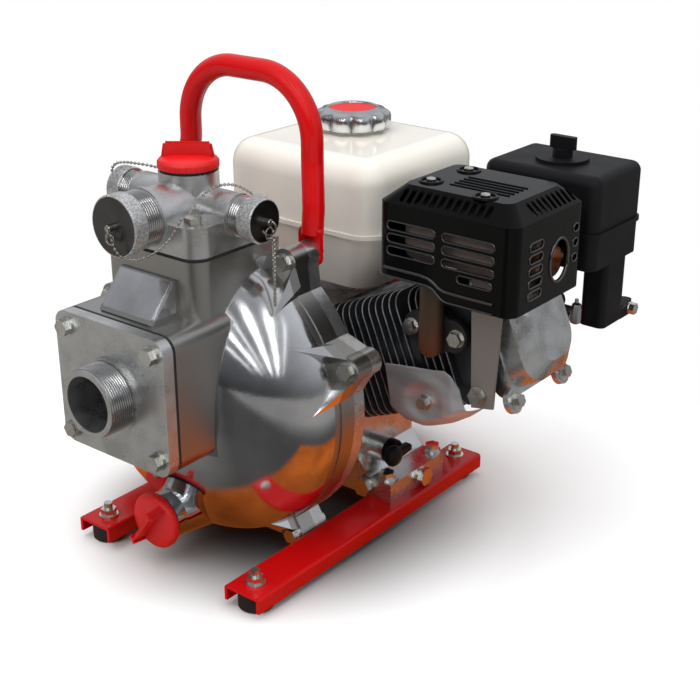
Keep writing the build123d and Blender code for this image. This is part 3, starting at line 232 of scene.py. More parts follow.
def make_floor():
    """A white sweep of paper. Polished metal sees a dim floor with an orange mat on it."""
    half = FLOOR_HALF
    mesh = bpy.data.meshes.new("floor")
    corners = [(-half, -half, 0), (half, -half, 0), (half, half, 0), (-half, half, 0)]
    mesh.from_pydata(corners, [], [(0, 1, 2, 3)])
    floor = bpy.data.objects.new("floor", mesh)
    bpy.context.scene.collection.objects.link(floor)
    paper = bpy.data.materials.new("floor_paper")
    paper.use_nodes = True
    tree = paper.node_tree
    nodes, links = tree.nodes, tree.links
    shader = nodes["Principled BSDF"]
    shader.inputs["Roughness"].default_value = 0.8
    shader.inputs["Specular IOR Level"].default_value = 0.1
    place = nodes.new("ShaderNodeTexCoord")
    split = nodes.new("ShaderNodeSeparateXYZ")
    links.new(place.outputs["Object"], split.inputs[0])
    inside = None
    for axis, edge, side in ((0, MAT_RIGHT, -1), (1, MAT_FRONT, 1), (0, MAT_LEFT, 1), (1, MAT_BACK, -1)):
        past = arithmetic(tree, "MULTIPLY", arithmetic(tree, "SUBTRACT", split.outputs[axis], edge), side)
        soft = nodes.new("ShaderNodeMapRange")
        soft.interpolation_type = "SMOOTHSTEP"
        soft.inputs["From Min"].default_value = -MAT_EDGE
        soft.inputs["From Max"].default_value = MAT_EDGE
        links.new(past, soft.inputs["Value"])
        inside = soft.outputs[0] if inside is None else arithmetic(tree, "MULTIPLY", inside, soft.outputs[0])
    under = nodes.new("ShaderNodeVectorMath")
    under.operation = "DISTANCE"
    under.inputs[1].default_value = SHADOW_AT
    links.new(place.outputs["Object"], under.inputs[0])
    cloud = nodes.new("ShaderNodeTexNoise")
    cloud.inputs["Scale"].default_value = 9
    cloud.inputs["Detail"].default_value = 4
    links.new(place.outputs["Object"], cloud.inputs["Vector"])
    mat = ramp_of(nodes, [(0.3, MAT_DARK), (0.7, MAT_LIGHT)])
    links.new(cloud.outputs["Fac"], mat.inputs[0])
    sideways = nodes.new("ShaderNodeMapRange")
    sideways.inputs["From Min"].default_value = -0.5
    sideways.inputs["From Max"].default_value = 0.5
    links.new(split.outputs[0], sideways.inputs["Value"])
    hall = ramp_of(
        nodes,
        [
            (0.0, (0.34, 0.325, 0.305)), (0.32, (0.27, 0.258, 0.24)), (0.52, (0.07, 0.068, 0.066)),
            (0.8, (0.09, 0.088, 0.086)), (1.0, (0.3, 0.29, 0.28))
        ]
    )
    links.new(sideways.outputs[0], hall.inputs[0])
    ground = nodes.new("ShaderNodeMix")
    ground.data_type = "RGBA"
    sockets = {socket.identifier: socket for socket in ground.inputs}
    links.new(inside, sockets["Factor_Float"])
    links.new(hall.outputs[0], sockets["A_Color"])
    links.new(mat.outputs[0], sockets["B_Color"])
    glow = nodes.new("ShaderNodeEmission")
    links.new({socket.identifier: socket for socket in ground.outputs}["Result_Color"], glow.inputs["Color"])
    # the mirrored floor glows less under the pump: a painted shadow in the reflection
    reflected_shadow = nodes.new("ShaderNodeMapRange")
    reflected_shadow.interpolation_type = "SMOOTHSTEP"
    for name, value in zip(("From Min", "From Max", "To Min", "To Max"), REFLECTED_SHADOW):
        reflected_shadow.inputs[name].default_value = value
    links.new(under.outputs["Value"], reflected_shadow.inputs["Value"])
    links.new(reflected_shadow.outputs[0], glow.inputs["Strength"])
    # a painted shadow under the pump, and plain white where the camera looks past it
    shade = ramp_of(
        nodes, [(0.16, (0.07, 0.07, 0.07)), (0.56, (0.92, 0.92, 0.92)), (0.7, (0.97, 0.97, 0.97))]
    )
    shade.color_ramp.interpolation = "EASE"
    links.new(arithmetic(tree, "DIVIDE", under.outputs["Value"], SHADOW_REACH), shade.inputs[0])
    links.new(shade.outputs[0], shader.inputs["Base Color"])
    far = nodes.new("ShaderNodeMapRange")
    far.interpolation_type = "SMOOTHSTEP"
    far.inputs["From Min"].default_value, far.inputs["From Max"].default_value = OPEN_FLOOR
    links.new(under.outputs["Value"], far.inputs["Value"])
    path = nodes.new("ShaderNodeLightPath")
    white = nodes.new("ShaderNodeEmission")
    distance = nodes.new("ShaderNodeMixShader")
    links.new(arithmetic(tree, "MULTIPLY", far.outputs[0], path.outputs["Is Camera Ray"]), distance.inputs[0])
    links.new(shader.outputs[0], distance.inputs[1])
    links.new(white.outputs[0], distance.inputs[2])
    mix = nodes.new("ShaderNodeMixShader")
    links.new(path.outputs["Is Glossy Ray"], mix.inputs[0])
    links.new(distance.outputs[0], mix.inputs[1])
    links.new(glow.outputs[0], mix.inputs[2])
    links.new(mix.outputs[0], nodes["Material Output"].inputs[0])
    mesh.materials.append(paper)


def make_studio():
    make_world()
    make_floor()
    centre = at(40, 0, 200)
    area_light("overhead", at(0, -100, 2200), centre, 3.0, 3.0, 70)
    area_light("key", at(-500, -1500, 1300), centre, 1.5, 1.5, 16)
    area_light("right", at(1500, -200, 900), centre, 0.8, 1.3, 7)
    for name in ("overhead", "key", "right"):
        bpy.data.objects[name].visible_glossy = False
    bpy.context.scene.view_settings.view_transform = "Standard"
    bpy.context.scene.view_settings.look = "None"


# Materials ----------------------------------------------------------------------------------------


def surface(
    name,
    colour,
    metallic=0.0,
    rough=(0.3, 0.45),
    worn=None,
    patch_scale=18,
    grain_scale=900,
    grain=0.05,
    coat=0.0,
    coat_rough=0.1,
    stretch=(1, 1, 1),
):
    """A finish whose colour, roughness and fine relief all vary over the surface."""
    material = bpy.data.materials.new(name)
    material.use_nodes = True
    nodes, links = material.node_tree.nodes, material.node_tree.links
    shader = nodes["Principled BSDF"]
    shader.inputs["Metallic"].default_value = metallic
    shader.inputs["Coat Weight"].default_value = coat
    shader.inputs["Coat Roughness"].default_value = coat_rough
    place = nodes.new("ShaderNodeTexCoord")
    scale = nodes.new("ShaderNodeMapping")
    scale.inputs["Scale"].default_value = stretch
    links.new(place.outputs["Object"], scale.inputs["Vector"])

    patches = nodes.new("ShaderNodeTexNoise")
    patches.inputs["Scale"].default_value = patch_scale
    patches.inputs["Detail"].default_value = 5
    links.new(scale.outputs[0], patches.inputs["Vector"])
    tint = nodes.new("ShaderNodeValToRGB")
    tint.color_ramp.elements[0].position = 0.35
    tint.color_ramp.elements[0].color = (*(worn or [c * 0.86 for c in colour]), 1)
    tint.color_ramp.elements[1].position = 0.62
    tint.color_ramp.elements[1].color = (*colour, 1)
    links.new(patches.outputs["Fac"], tint.inputs[0])
    links.new(tint.outputs[0], shader.inputs["Base Color"])

    sheen = nodes.new("ShaderNodeMapRange")
    sheen.inputs["From Min"].default_value = 0.3
    sheen.inputs["From Max"].default_value = 0.7
    sheen.inputs["To Min"].default_value = rough[0]
    sheen.inputs["To Max"].default_value = rough[1]
    links.new(patches.outputs["Fac"], sheen.inputs["Value"])
    links.new(sheen.outputs[0], shader.inputs["Roughness"])

    fine = nodes.new("ShaderNodeTexNoise")
    fine.inputs["Scale"].default_value = grain_scale
    fine.inputs["Detail"].default_value = 3
    links.new(scale.outputs[0], fine.inputs["Vector"])
    bump = nodes.new("ShaderNodeBump")
    bump.inputs["Strength"].default_value = grain
    bump.inputs["Distance"].default_value = 0.0006
    links.new(fine.outputs["Fac"], bump.inputs["Height"])
    links.new(bump.outputs[0], shader.inputs["Normal"])
    return material


def inside_box(material, low, high):
    """A socket that is 1 inside a box given in millimetres, and 0 outside it."""
    nodes, links = material.node_tree.nodes, material.node_tree.links
    place = nodes.new("ShaderNodeTexCoord")
    split = nodes.new("ShaderNodeSeparateXYZ")
    links.new(place.outputs["Object"], split.inputs[0])
    result = None
    for axis, lower, upper in zip(range(3), at(*low), at(*high)):
        for operation, limit in (("GREATER_THAN", lower), ("LESS_THAN", upper)):
            test = nodes.new("ShaderNodeMath")
            test.operation = operation
            test.inputs[1].default_value = limit
            links.new(split.outputs[axis], test.inputs[0])
            if result is None:
                result = test.outputs[0]
            else:
                both = nodes.new("ShaderNodeMath")
                both.operation = "MULTIPLY"
                links.new(result, both.inputs[0])
                links.new(test.outputs[0], both.inputs[1])
                result = both.outputs[0]
    return result


def mix_in(material, name, mask, value):
    """Puts another value or colour on one input wherever the mask is 1."""
    nodes, links = material.node_tree.nodes, material.node_tree.links
    target = nodes["Principled BSDF"].inputs[name]
    mixer = nodes.new("ShaderNodeMix")
    mixer.data_type = "RGBA" if target.type == "RGBA" else "FLOAT"
    kind = {"RGBA": "Color", "FLOAT": "Float"}[mixer.data_type]
    sockets = {s.identifier: s for s in mixer.inputs}
    links.new(mask, sockets["Factor_Float"])
    if target.is_linked:
        links.new(target.links[0].from_socket, sockets[f"A_{kind}"])
    else:
        sockets[f"A_{kind}"].default_value = target.default_value
    sockets[f"B_{kind}"].default_value = (*value, 1) if kind == "Color" else value
    links.new({s.identifier: s for s in mixer.outputs}[f"Result_{kind}"], target)


SUCTION_BOX_ZONE = ((-67, -190, 123.6), (67, -116, 252))
THROAT_ZONE = ((-58, -150, 252), (58, -45, 302))
FLANGE_ZONE = ((-175, -71, 0), (175, -40, 312))
PIPE_FLANGE_ZONE = ((150, 9, 200), (220, 17, 241))
STAY_ZONE = ((220, 9, 150), (258, 17, 300))
CAST_ROUGHNESS = 0.34
PIPE_LOW, PIPE_HIGH = 0.208, 0.300


def casing_metal():
    """A hand-polished bowl that carries a duller, as-cast suction box and outlet throat."""
    bright, cast = (0.86, 0.87, 0.89), (0.50, 0.495, 0.48)
    material = surface("polished_casing", bright, 1, (0.07, 0.17), (0.58, 0.59, 0.61), 13, 420, 0.05)
    for low, high in (SUCTION_BOX_ZONE, THROAT_ZONE, FLANGE_ZONE):
        mask = inside_box(material, low, high)
        mix_in(material, "Roughness", mask, CAST_ROUGHNESS)
        mix_in(material, "Base Color", mask, cast)
    return material


def muffler_steel():
    """Heat-tinted pipe and box, with a black cast flange and a plain strip for a stay."""
    material = surface(
        "exhaust_steel", (0.46, 0.36, 0.31), 0.55, (0.3, 0.48), (0.28, 0.2, 0.17), 30, 700, 0.12
    )
    nodes, links = material.node_tree.nodes, material.node_tree.links
    place = nodes.new("ShaderNodeTexCoord")
    split = nodes.new("ShaderNodeSeparateXYZ")
    links.new(place.outputs["Object"], split.inputs[0])
    height = nodes.new("ShaderNodeMapRange")
    height.inputs["From Min"].default_value = PIPE_LOW
    height.inputs["From Max"].default_value = PIPE_HIGH
    links.new(split.outputs["Z"], height.inputs["Value"])
    ramp = nodes.new("ShaderNodeValToRGB")
    ramp.color_ramp.elements[0].color = (0.11, 0.035, 0.014, 1)
    ramp.color_ramp.elements[1].color = (0.20, 0.16, 0.145, 1)
    for position, colour in (
        (0.3, (0.08, 0.042, 0.022)), (0.62, (0.06, 0.04, 0.028)), (0.8, (0.035, 0.045, 0.08))
    ):
        stop = ramp.color_ramp.elements.new(position)
        stop.color = (*colour, 1)
    links.new(height.outputs[0], ramp.inputs[0])
    links.new(ramp.outputs[0], nodes["Principled BSDF"].inputs["Base Color"])
    flange = inside_box(material, *PIPE_FLANGE_ZONE)
    mix_in(material, "Base Color", flange, (0.02, 0.019, 0.018))
    mix_in(material, "Metallic", flange, 0.3)
    stay = inside_box(material, *STAY_ZONE)
    mix_in(material, "Base Color", stay, (0.235, 0.205, 0.185))
    return material


M = {
    "red_paint": surface(
        "red_powder_coat", (0.52, 0.002, 0.003), 0, (0.18, 0.26), (0.45, 0.002, 0.003), 6, 500, 0.05, 0.2,
        0.06
    ),
    "red_plastic": surface(
        "red_plastic", (0.60, 0.004, 0.005), 0, (0.3, 0.42), (0.54, 0.004, 0.005), 12, 900, 0.04
    ),
    "cast_aluminium": surface(
        "cast_aluminium", (0.76, 0.77, 0.78), 0.95, (0.22, 0.36), (0.58, 0.58, 0.57), 44, 620, 0.2
    ),
    "zinc": surface("zinc_plate", (0.86, 0.87, 0.84), 1, (0.16, 0.3), (0.66, 0.66, 0.6), 60, 700, 0.06),
    "rubber": surface("black_rubber", (0.014, 0.014, 0.015), 0, (0.55, 0.75), None, 40, 900, 0.2),
    "black_cast": surface(
        "black_fins", (0.012, 0.013, 0.015), 0.1, (0.3, 0.5), (0.024, 0.026, 0.03), 30, 700, 0.25
    ),
    "black_paint": surface("black_gloss", (0.002, 0.002, 0.002), 0, (0.07, 0.13), None, 10, 260, 0.05),
    "black_plastic": surface("black_plastic", (0.007, 0.007, 0.008), 0, (0.36, 0.48), None, 30, 1500, 0.4),
    "cream_paint": surface(
        "cream_enamel", (0.80, 0.775, 0.71), 0, (0.16, 0.24), (0.78, 0.75, 0.68), 5, 300, 0.03, 0.7, 0.06
    ),
    "tank_chrome": surface("chrome", (0.72, 0.73, 0.75), 1, (0.12, 0.24), (0.56, 0.57, 0.6), 50, 800, 0.05),
    "sheet_steel": surface(
        "sheet_steel", (0.66, 0.66, 0.68), 0.85, (0.36, 0.48), (0.52, 0.52, 0.54), 20, 500, 0.1,
        stretch=(1, 1, 4)
    ),
    "machined": surface("machined_steel", (0.6, 0.6, 0.6), 1, (0.2, 0.34), None, 40, 700, 0.05),
    "cap_metal": surface(
        "cap_aluminium", (0.78, 0.78, 0.78), 1, (0.26, 0.38), (0.6, 0.6, 0.6), 50, 900, 0.08
    ),
    "cap_face": surface(
        "turned_face", (0.16, 0.16, 0.16), 1, (0.26, 0.34), (0.12, 0.12, 0.12), 50, 900, 0.08
    ),
    "chain_metal": surface(
        "nickel_chain", (0.76, 0.73, 0.68), 1, (0.14, 0.24), (0.5, 0.48, 0.44), 90, 900, 0.03
    ),
    "foam": surface("filter_foam", (0.05, 0.05, 0.05), 0, (0.8, 0.95), None, 90, 400, 0.8),
    "fin_edge": surface("bare_fin_edge", (0.66, 0.66, 0.66), 1, (0.3, 0.42), (0.3, 0.3, 0.3), 90, 900, 0.1),
    # metallic grey for the black guard's lips and edges: painted highlights, since the real guard is black paint
    # there too
    "painted_highlight_edge": surface("painted_highlight_edge", (0.2, 0.2, 0.2), 1, (0.1, 0.18), None, 10, 260, 0.03),
    "exhaust": muffler_steel(),
    "outlet_steel": surface("outlet_steel", (0.9, 0.8, 0.72), 1, (0.2, 0.34), (0.7, 0.3, 0.12), 60, 700, 0.1),
    "knurl": surface(
        "knurled_aluminium", (0.82, 0.82, 0.82), 0.8, (0.28, 0.4), (0.4, 0.4, 0.4), 560, 900, 0.3
    ),
    # darker metal for the thread's roots: painted shade in the grooves
    "painted_root_shade": surface("thread_root_painted_shade", (0.28, 0.28, 0.28), 1, (0.3, 0.4), None, 50, 900, 0.04),
    "thread_metal": surface(
        "cut_thread", (0.8, 0.8, 0.8), 1, (0.16, 0.24), (0.66, 0.66, 0.66), 50, 900, 0.04
    ),
    "polished_aluminium": casing_metal(),
}
for name, level in (
    ("black_paint", 0.16), ("black_plastic", 0.16), ("black_cast", 0.35), ("red_paint", 0.26)
):
    M[name].node_tree.nodes["Principled BSDF"].inputs["Specular IOR Level"].default_value = level


# Mesh helpers -------------------------------------------------------------------------------------


def add_piece(name, mesh, material, body, nodes=()):
    """Puts a mesh in the scene as a piece that rides on a body and stands for CAD nodes."""
    piece = bpy.data.objects.new(name, mesh)
    bpy.context.scene.collection.objects.link(piece)
    if material:
        mesh.materials.append(M[material])
    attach(piece, body)
    if nodes:
        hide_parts(*nodes)
    return piece


def mesh_of(name, points, faces, sharp=30):
    """A mesh of points in metres, smooth up to the given crease angle."""
    mesh = bpy.data.meshes.new(name)
    mesh.from_pydata([tuple(p) for p in points], [], faces)
    mesh.validate()
    tidy = bmesh.new()
    tidy.from_mesh(mesh)
    bmesh.ops.recalc_face_normals(tidy, faces=tidy.faces)
    tidy.to_mesh(mesh)
    tidy.free()
    for face in mesh.polygons:
        face.use_smooth = True
    mesh.set_sharp_from_angle(angle=radians(sharp))
    return mesh


def upright(direction):
    """Two unit vectors square to a direction and to each other."""
    across = direction.cross(Z) if abs(direction.z) < 0.9 else X.copy()
    across.normalize()
    return across, direction.cross(across)


def turned(centre, direction, profile, steps, shape=None):
    """Points and faces of a closed turned form. Its profile is (radius, height) in millimetres,
    and shape(row, step) adds millimetres to a radius."""
    across, along = upright(direction)
    points, faces = [], []
    for row, (radius, height) in enumerate(profile):
        for step in range(steps):
            turn = 2 * pi * step / steps
            reach = (radius + (shape(row, step) if shape else 0)) * MM
            out = across * cos(turn) + along * sin(turn)
            points.append(centre + direction * (height * MM) + out * reach)
    for row in range(len(profile) - 1):
        for step in range(steps):
            after = (step + 1) % steps
            faces.append(
                (row * steps + step, row * steps + after, (row + 1) * steps + after, (row + 1) * steps + step)
            )
    faces.append(tuple(range(steps)))
    last = (len(profile) - 1) * steps
    faces.append(tuple(range(last, last + steps)))
    return points, faces


def join(*parts):
    """One list of points and faces out of several."""
    points, faces = [], []
    for more_points, more_faces in parts:
        start = len(points)
        points += more_points
        faces += [tuple(k + start for k in face) for face in more_faces]
    return points, faces


def ring(centre, direction, radius, thick, steps=32, around=10):
    """Points and faces of a torus, in millimetres, square to a direction."""
    across, along = upright(direction)
    points, faces = [], []
    for step in range(steps):
        turn = 2 * pi * step / steps
        out = across * cos(turn) + along * sin(turn)
        for k in range(around):
            lean = 2 * pi * k / around
            reach = (radius + thick * cos(lean)) * MM
            points.append(centre + out * reach + direction * (thick * sin(lean) * MM))
    for step in range(steps):
        for k in range(around):
            a, b = step * around, (step + 1) % steps * around
            after = (k + 1) % around
            faces.append((a + k, b + k, b + after, a + after))
    return points, faces


# CAD nodes that stay ------------------------------------------------------------------------------

BEVELS = {
    "skid_left": 1.2,
    "skid_right": 1.2,
    "suction_cover": 1.2,
    "discharge_manifold": 1.6,
    "casing_backplate": 1.2,
    "pump_casing": 1.4,
    "head_cover": 2.6,
    "crankcase": 1.6,
    "crankcase_cover": 1.6,
    "muffler_guard": 0.7,
    "air_cleaner_base": 1.2,
    "air_cleaner_cover": 1.0,
    "air_cleaner_knob": 1.2,
    "oil_dipstick": 1.0,
    "pump_bolts": 0.45,
    "engine_bolts": 0.45,
    "skid_bolts": 0.45,
    "rubber_feet": 0.8,
    "fan_cover": 1.0,
    "recoil_cover": 0.8,
    "starter_grip": 1.5,
    "engine_switch": 0.6,
    "carburetor": 0.8,
}


def dress_nodes():
    """Every CAD node gets its finish, and the nodes listed in BEVELS a small round on their sharp edges."""
    for row in frame["record"]["subparts"]:
        node = NODES[row["node"]]
        node.data.materials.clear()
        node.data.materials.append(M[row["material_slot"]])
        width = BEVELS.get(row["node"])
        if width:
            edge = node.modifiers.new("edges", "BEVEL")
            edge.width = width * MM
            edge.segments = 3
            edge.limit_method = "ANGLE"
            edge.angle_limit = radians(28)


# Caps, plugs and threads --------------------------------------------------------------------------

OUTLET_Z = 328.7
TOWER_Y = -95


def thread(name, centre, direction, radius, start, end, pitch, body):
    """A screw thread that stands 0.8 mm proud of a plain stub."""
    steps, rows_a_turn = 72, 6
    depth = 1.0
    rows = int((end - start) / pitch * rows_a_turn)
    across, along = upright(direction)
    points, faces = [], []
    for row in range(rows + 1):
        height = start + (end - start) * row / rows
        for step in range(steps):
            turn = 2 * pi * step / steps
            phase = (height / pitch - step / steps) % 1
            fade = min(1, (height - start) / pitch, (end - height) / pitch)
            crest = depth * (1 - abs(2 * phase - 1)) * fade
            out = across * cos(turn) + along * sin(turn)
            points.append(centre + direction * (height * MM) + out * (radius + 0.05 + crest) * MM)
    for row in range(rows):
        for step in range(steps):
            after = (step + 1) % steps
            faces.append(
                (row * steps + step, row * steps + after, (row + 1) * steps + after, (row + 1) * steps + step)
            )
    mesh = mesh_of(name, points, faces, 50)
    shell = add_piece(name, mesh, "thread_metal", body)
    mesh.materials.append(M["painted_root_shade"])
    # faces near the thread's roots take the darker material: painted shade in the grooves
    for face in mesh.polygons:
        row, step = divmod(min(face.vertices), steps)
        middle = start + (end - start) * (row + 0.5) / rows
        phase = (middle / pitch - (step + 0.5) / steps) % 1
        face.material_index = int(abs(2 * phase - 1) > 0.62)
    wall = shell.modifiers.new("wall", "SOLIDIFY")
    wall.thickness = 0.6 * MM
    wall.offset = -1
    return shell


def make_threads():
    thread("suction_thread", at(0, -197.6, 185), -Y, 29.8, 3, 26.6, 2.3, "frame")
    thread("front_thread", at(0, -146, OUTLET_Z), -Y, 23.9, 3.5, 29.6, 2.3, "frame")
    for side, name in ((1, "right_thread"), (-1, "left_thread")):
        thread(
            name, at(side * 58, TOWER_Y, OUTLET_Z), X * side, 16.6, 0.4, 21, 2.3, "frame"
        )


def outlet_cap(name, centre, direction, radius, body, node):
    """A knurled screw cap with a plain turned face, a drilled stud and its split ring."""
    outer, inner = radius + 2.6, radius + 1.1
    half_pitch = 0.85
    steps = 2 * round(pi * outer / (2 * half_pitch)) * 2
    knurl_rows = [-7.6 + half_pitch * k for k in range(15)]
    profile = [(inner - 0.4, 2.9), (inner, 2.9), (inner, -8.6), (outer - 0.7, -9), (outer - 0.2, -8.3)]
    first = len(profile)
    profile += [(outer - 0.15, height) for height in knurl_rows]
    last = len(profile)
    profile += [(outer - 0.2, 5.3), (outer - 0.9, 6.1), (outer - 1.4, 6.1)]

    def knurl(row, step):
        if row < first or row >= last:
            return 0
        return 0.42 if (row + step) % 2 else -0.34

    sleeve = mesh_of(name, *turned(centre, direction, profile, steps, knurl), 70)
    add_piece(name, sleeve, "knurl", body, (node,))
    disc = turned(
        centre, direction, [(outer - 1.35, 5.2), (outer - 1.35, 6.0), (outer - 1.6, 6.15), (3, 6.15)], 72
    )
    add_piece(name + "_face", mesh_of(name + "_face", *disc), "cap_face", body)
    stud = turned(centre, direction, [(3.2, 5.8), (3.2, 12.6), (2.7, 13.4)], 32)
    eye = ring(
        centre + direction * 10.4 * MM - Z * 4.6 * MM,
        (upright(direction)[0] + direction * 0.5).normalized(), 6.2, 0.85
    )
    second = ring(centre + direction * 11 * MM - Z * 9 * MM, direction, 4.6, 0.75)
    add_piece(
        name + "_stud", mesh_of(name + "_stud", *join(stud, eye, second)), "chain_metal", body
    )


def winged_plug(name, centre, direction, lean, body, node):
    """A red screw plug: ribbed rim, low dome, and a tapered wing with rounded corners."""
    steps = 240

    def ribs(row, step):
        return 0.35 if 1 <= row <= 4 and step % 4 < 2 else 0

    profile = [(20, 2.4), (26, 2.4), (26.2, 2.9), (26.2, 7.2), (26, 7.7), (25.4, 8.5)]
    profile += [(25.4 * cos(a), 8.5 + 4.6 * sin(a)) for a in [radians(8 * k) for k in range(1, 9)]]
    body_form = turned(centre, direction, profile, steps, ribs)
    shank = turned(centre, direction, [(16.4, -13), (16.6, -12), (16.6, 2.5)], 64)
    mesh = mesh_of(name, *join(body_form, shank), 40)
    cap = add_piece(name, mesh, "red_plastic", body, (node,))

    across, along = upright(direction)
    flat = across * cos(lean) + along * sin(lean)
    thin = direction.cross(flat)
    wing_name = name + "_wing"
    shape = bmesh.new()
    bmesh.ops.create_cube(shape, size=2)
    for vertex in shape.verts:
        top = vertex.co.z > 0
        long = (20.5 if top else 23.4) * vertex.co.x
        thick = (2.1 if top else 2.7) * vertex.co.y
        rise = 23.8 if top else 8
        vertex.co = centre + (flat * long + thin * thick + direction * rise) * MM
    bmesh.ops.bevel(
        shape, geom=list(shape.edges), offset=1.9 * MM, segments=4, affect="EDGES", clamp_overlap=True
    )
    wing = bpy.data.meshes.new(wing_name)
    shape.to_mesh(wing)
    shape.free()
    for face in wing.polygons:
        face.use_smooth = True
    wing.set_sharp_from_angle(angle=radians(40))
    add_piece(wing_name, wing, "red_plastic", body)
    return cap


def make_caps():
    outlet_cap("front_cap", at(0, -176.5, OUTLET_Z), -Y, 23.9, "front_cap", "front_outlet_cap")
    outlet_cap("right_cap", at(79.9, TOWER_Y, OUTLET_Z), X, 16.6, "right_cap", "right_outlet_cap")
    outlet_cap("left_cap", at(-79.9, TOWER_Y, OUTLET_Z), -X, 16.6, "left_cap", "left_outlet_cap")
    winged_plug("filler_plug", at(0, TOWER_Y, 359), Z, radians(37), "filler_plug", "filler_cap")
    winged_plug("drain_plug", at(0, -152, 44), -Y, radians(52), "drain_plug", "drain_cap")


# Ball chains: the route's points in millimetres, as in the CAD --------------------------------------

BALL_CHAINS = {
    "chain_front": [
        (41, -146, 334), (38, -152, 323), (33, -160, 313), (27, -170, 306),
        (19, -181, 303), (11, -188, 307), (6, -190, 316), (4.5, -190, 324),
    ],
    "chain_right": [
        (33, -128, 334), (35, -118, 345), (38, -104, 352), (43, -88, 352), (49, -74, 344), (57, -67, 333),
        (66, -67, 316), (75, -74, 297), (83, -82, 281), (89, -88, 268), (93, -92, 259), (97, -97, 257),
        (99, -100, 265), (99, -99, 280), (98, -97, 297), (97, -96, 313), (95, -95, 322),
    ],
    "chain_left": [
        (-43, -66, 335), (-46, -76, 345), (-53, -87, 351), (-64, -95, 353),
        (-76, -98, 353), (-86, -100, 351), (-92, -101, 345), (-92.5, -99.5, 336),
    ],
}
BEAD_RADIUS = 1.45
BEAD_PITCH = 3.7


def smooth_route(name, points):
    """Points read from the NURBS spline that a route's points control."""
    curve = bpy.data.curves.new(name + "_route", "CURVE")
    curve.dimensions = "3D"
    curve.resolution_u = 24
    spline = curve.splines.new("NURBS")
    spline.points.add(len(points) - 1)
    for point, place in zip(spline.points, points):
        point.co = (*at(*place), 1)
    spline.order_u = 3
    spline.use_endpoint_u = True
    route = bpy.data.objects.new(name + "_route", curve)
    bpy.context.scene.collection.objects.link(route)
    line = bpy.data.meshes.new_from_object(route)
    places = [vertex.co.copy() for vertex in line.vertices]
    bpy.data.objects.remove(route)
    return places


def ball_chain(name, points, body, nodes):
    """Hollow balls on a thin wire that follow the route."""
    line = smooth_route(name, points)
    chain = bmesh.new()
    travelled, beads = [0.0], []
    for before, after in zip(line, line[1:]):
        travelled.append(travelled[-1] + (after - before).length)
    count = round(travelled[-1] / (BEAD_PITCH * MM))
    k = 0
    for bead in range(count + 1):
        target = travelled[-1] * bead / count
        while k < len(line) - 2 and travelled[k + 1] < target:
            k += 1
        share = (target - travelled[k]) / max(travelled[k + 1] - travelled[k], 1e-9)
        beads.append(line[k].lerp(line[k + 1], share))
    for place in beads:
        bmesh.ops.create_icosphere(
            chain, subdivisions=2, radius=BEAD_RADIUS * MM, matrix=Matrix.Translation(place)
        )
    for before, after in zip(beads, beads[1:]):
        step = after - before
        turn = step.to_track_quat("Z", "Y").to_matrix().to_4x4()
        bmesh.ops.create_cone(
            chain, segments=8, radius1=0.5 * MM, radius2=0.5 * MM, depth=step.length,
            matrix=Matrix.Translation((before + after) / 2) @ turn,
        )
    mesh = bpy.data.meshes.new(name)
    chain.to_mesh(mesh)
    chain.free()
    for face in mesh.polygons:
        face.use_smooth = True
    piece = add_piece("ball_" + name, mesh, "chain_metal", body, nodes)


def make_chains():
    for name, points in BALL_CHAINS.items():
        side = name.removeprefix("chain_")
        ball_chain(name, points, side + "_thread", (name,))


# Fuel tank's cap ----------------------------------------------------------------------------------


def make_fuel_cap():
    """A chromed cap with ten shallow lobes, round a plain red disc."""
    centre = at(-4, 135, 353.5)
    lobes = 10
    profile = [
        (26.8, 0.4), (36, 0.4), (37.4, 1.6), (37.4, 11), (36.6, 13.6), (34.6, 15.6), (31.5, 16.6),
        (27.6, 17.2), (25.4, 18.9), (24.3, 19.4), (23.3, 18.7), (23, 17.2),
    ]

    def scallop(row, step):
        strength = (0, 0.6, 1, 1, 1, 0.8, 0.4, 0, 0, 0, 0, 0)[row]
        wave = cos(2 * pi * step * lobes / 240)
        return strength * (1.4 * wave - 1.2 - 1.4 * max(0, -wave) ** 2)

    mesh = mesh_of("fuel_cap_rim", *turned(centre, Z, profile, 240, scallop), 60)
    add_piece("fuel_cap_rim", mesh, "tank_chrome", "tank_cap", ("fuel_cap",))
    disc = turned(
        centre, Z, [(23.2, 16.4), (23.2, 17.3), (22, 17.7), (18, 18.1), (17.2, 17.7), (8, 17.9)], 96
    )
    add_piece("fuel_cap_disc", mesh_of("fuel_cap_disc", *disc, 25), "red_plastic", "tank_cap")
    neck = turned(centre, Z, [(21.2, -13), (21.4, -12), (21.4, 3)], 64)
    add_piece("fuel_cap_neck", mesh_of("fuel_cap_neck", *neck), "black_plastic", "tank_cap")


# Muffler guard ------------------------------------------------------------------------------------


def wire(name, outlines, thick, material, body, closed=True, smooth=False):
    """Round bars that follow outlines of points in metres."""
    curve = bpy.data.curves.new(name, "CURVE")
    curve.dimensions = "3D"
    curve.bevel_depth = thick * MM
    curve.bevel_resolution = 3
    for outline in outlines:
        spline = curve.splines.new("POLY")
        spline.points.add(len(outline) - 1)
        for point, place in zip(spline.points, outline):
            point.co = (*place, 1)
        spline.use_cyclic_u = closed
        spline.use_smooth = True
    curve.materials.append(M[material])
    bars = bpy.data.objects.new(name, curve)
    bpy.context.scene.collection.objects.link(bars)
    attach(bars, body)
    return bars


def pill(middle, wide, high, place):
    """The outline of a slot with round ends, where place(u, v) gives a point."""
    end, half = high / 2, wide / 2 - high / 2
    outline = []
    for side, start in ((1, -90), (-1, 90)):
        for k in range(9):
            turn = radians(start + 180 * k / 8)
            outline.append(place(middle[0] + side * half + end * cos(turn), middle[1] + end * sin(turn)))
    return outline


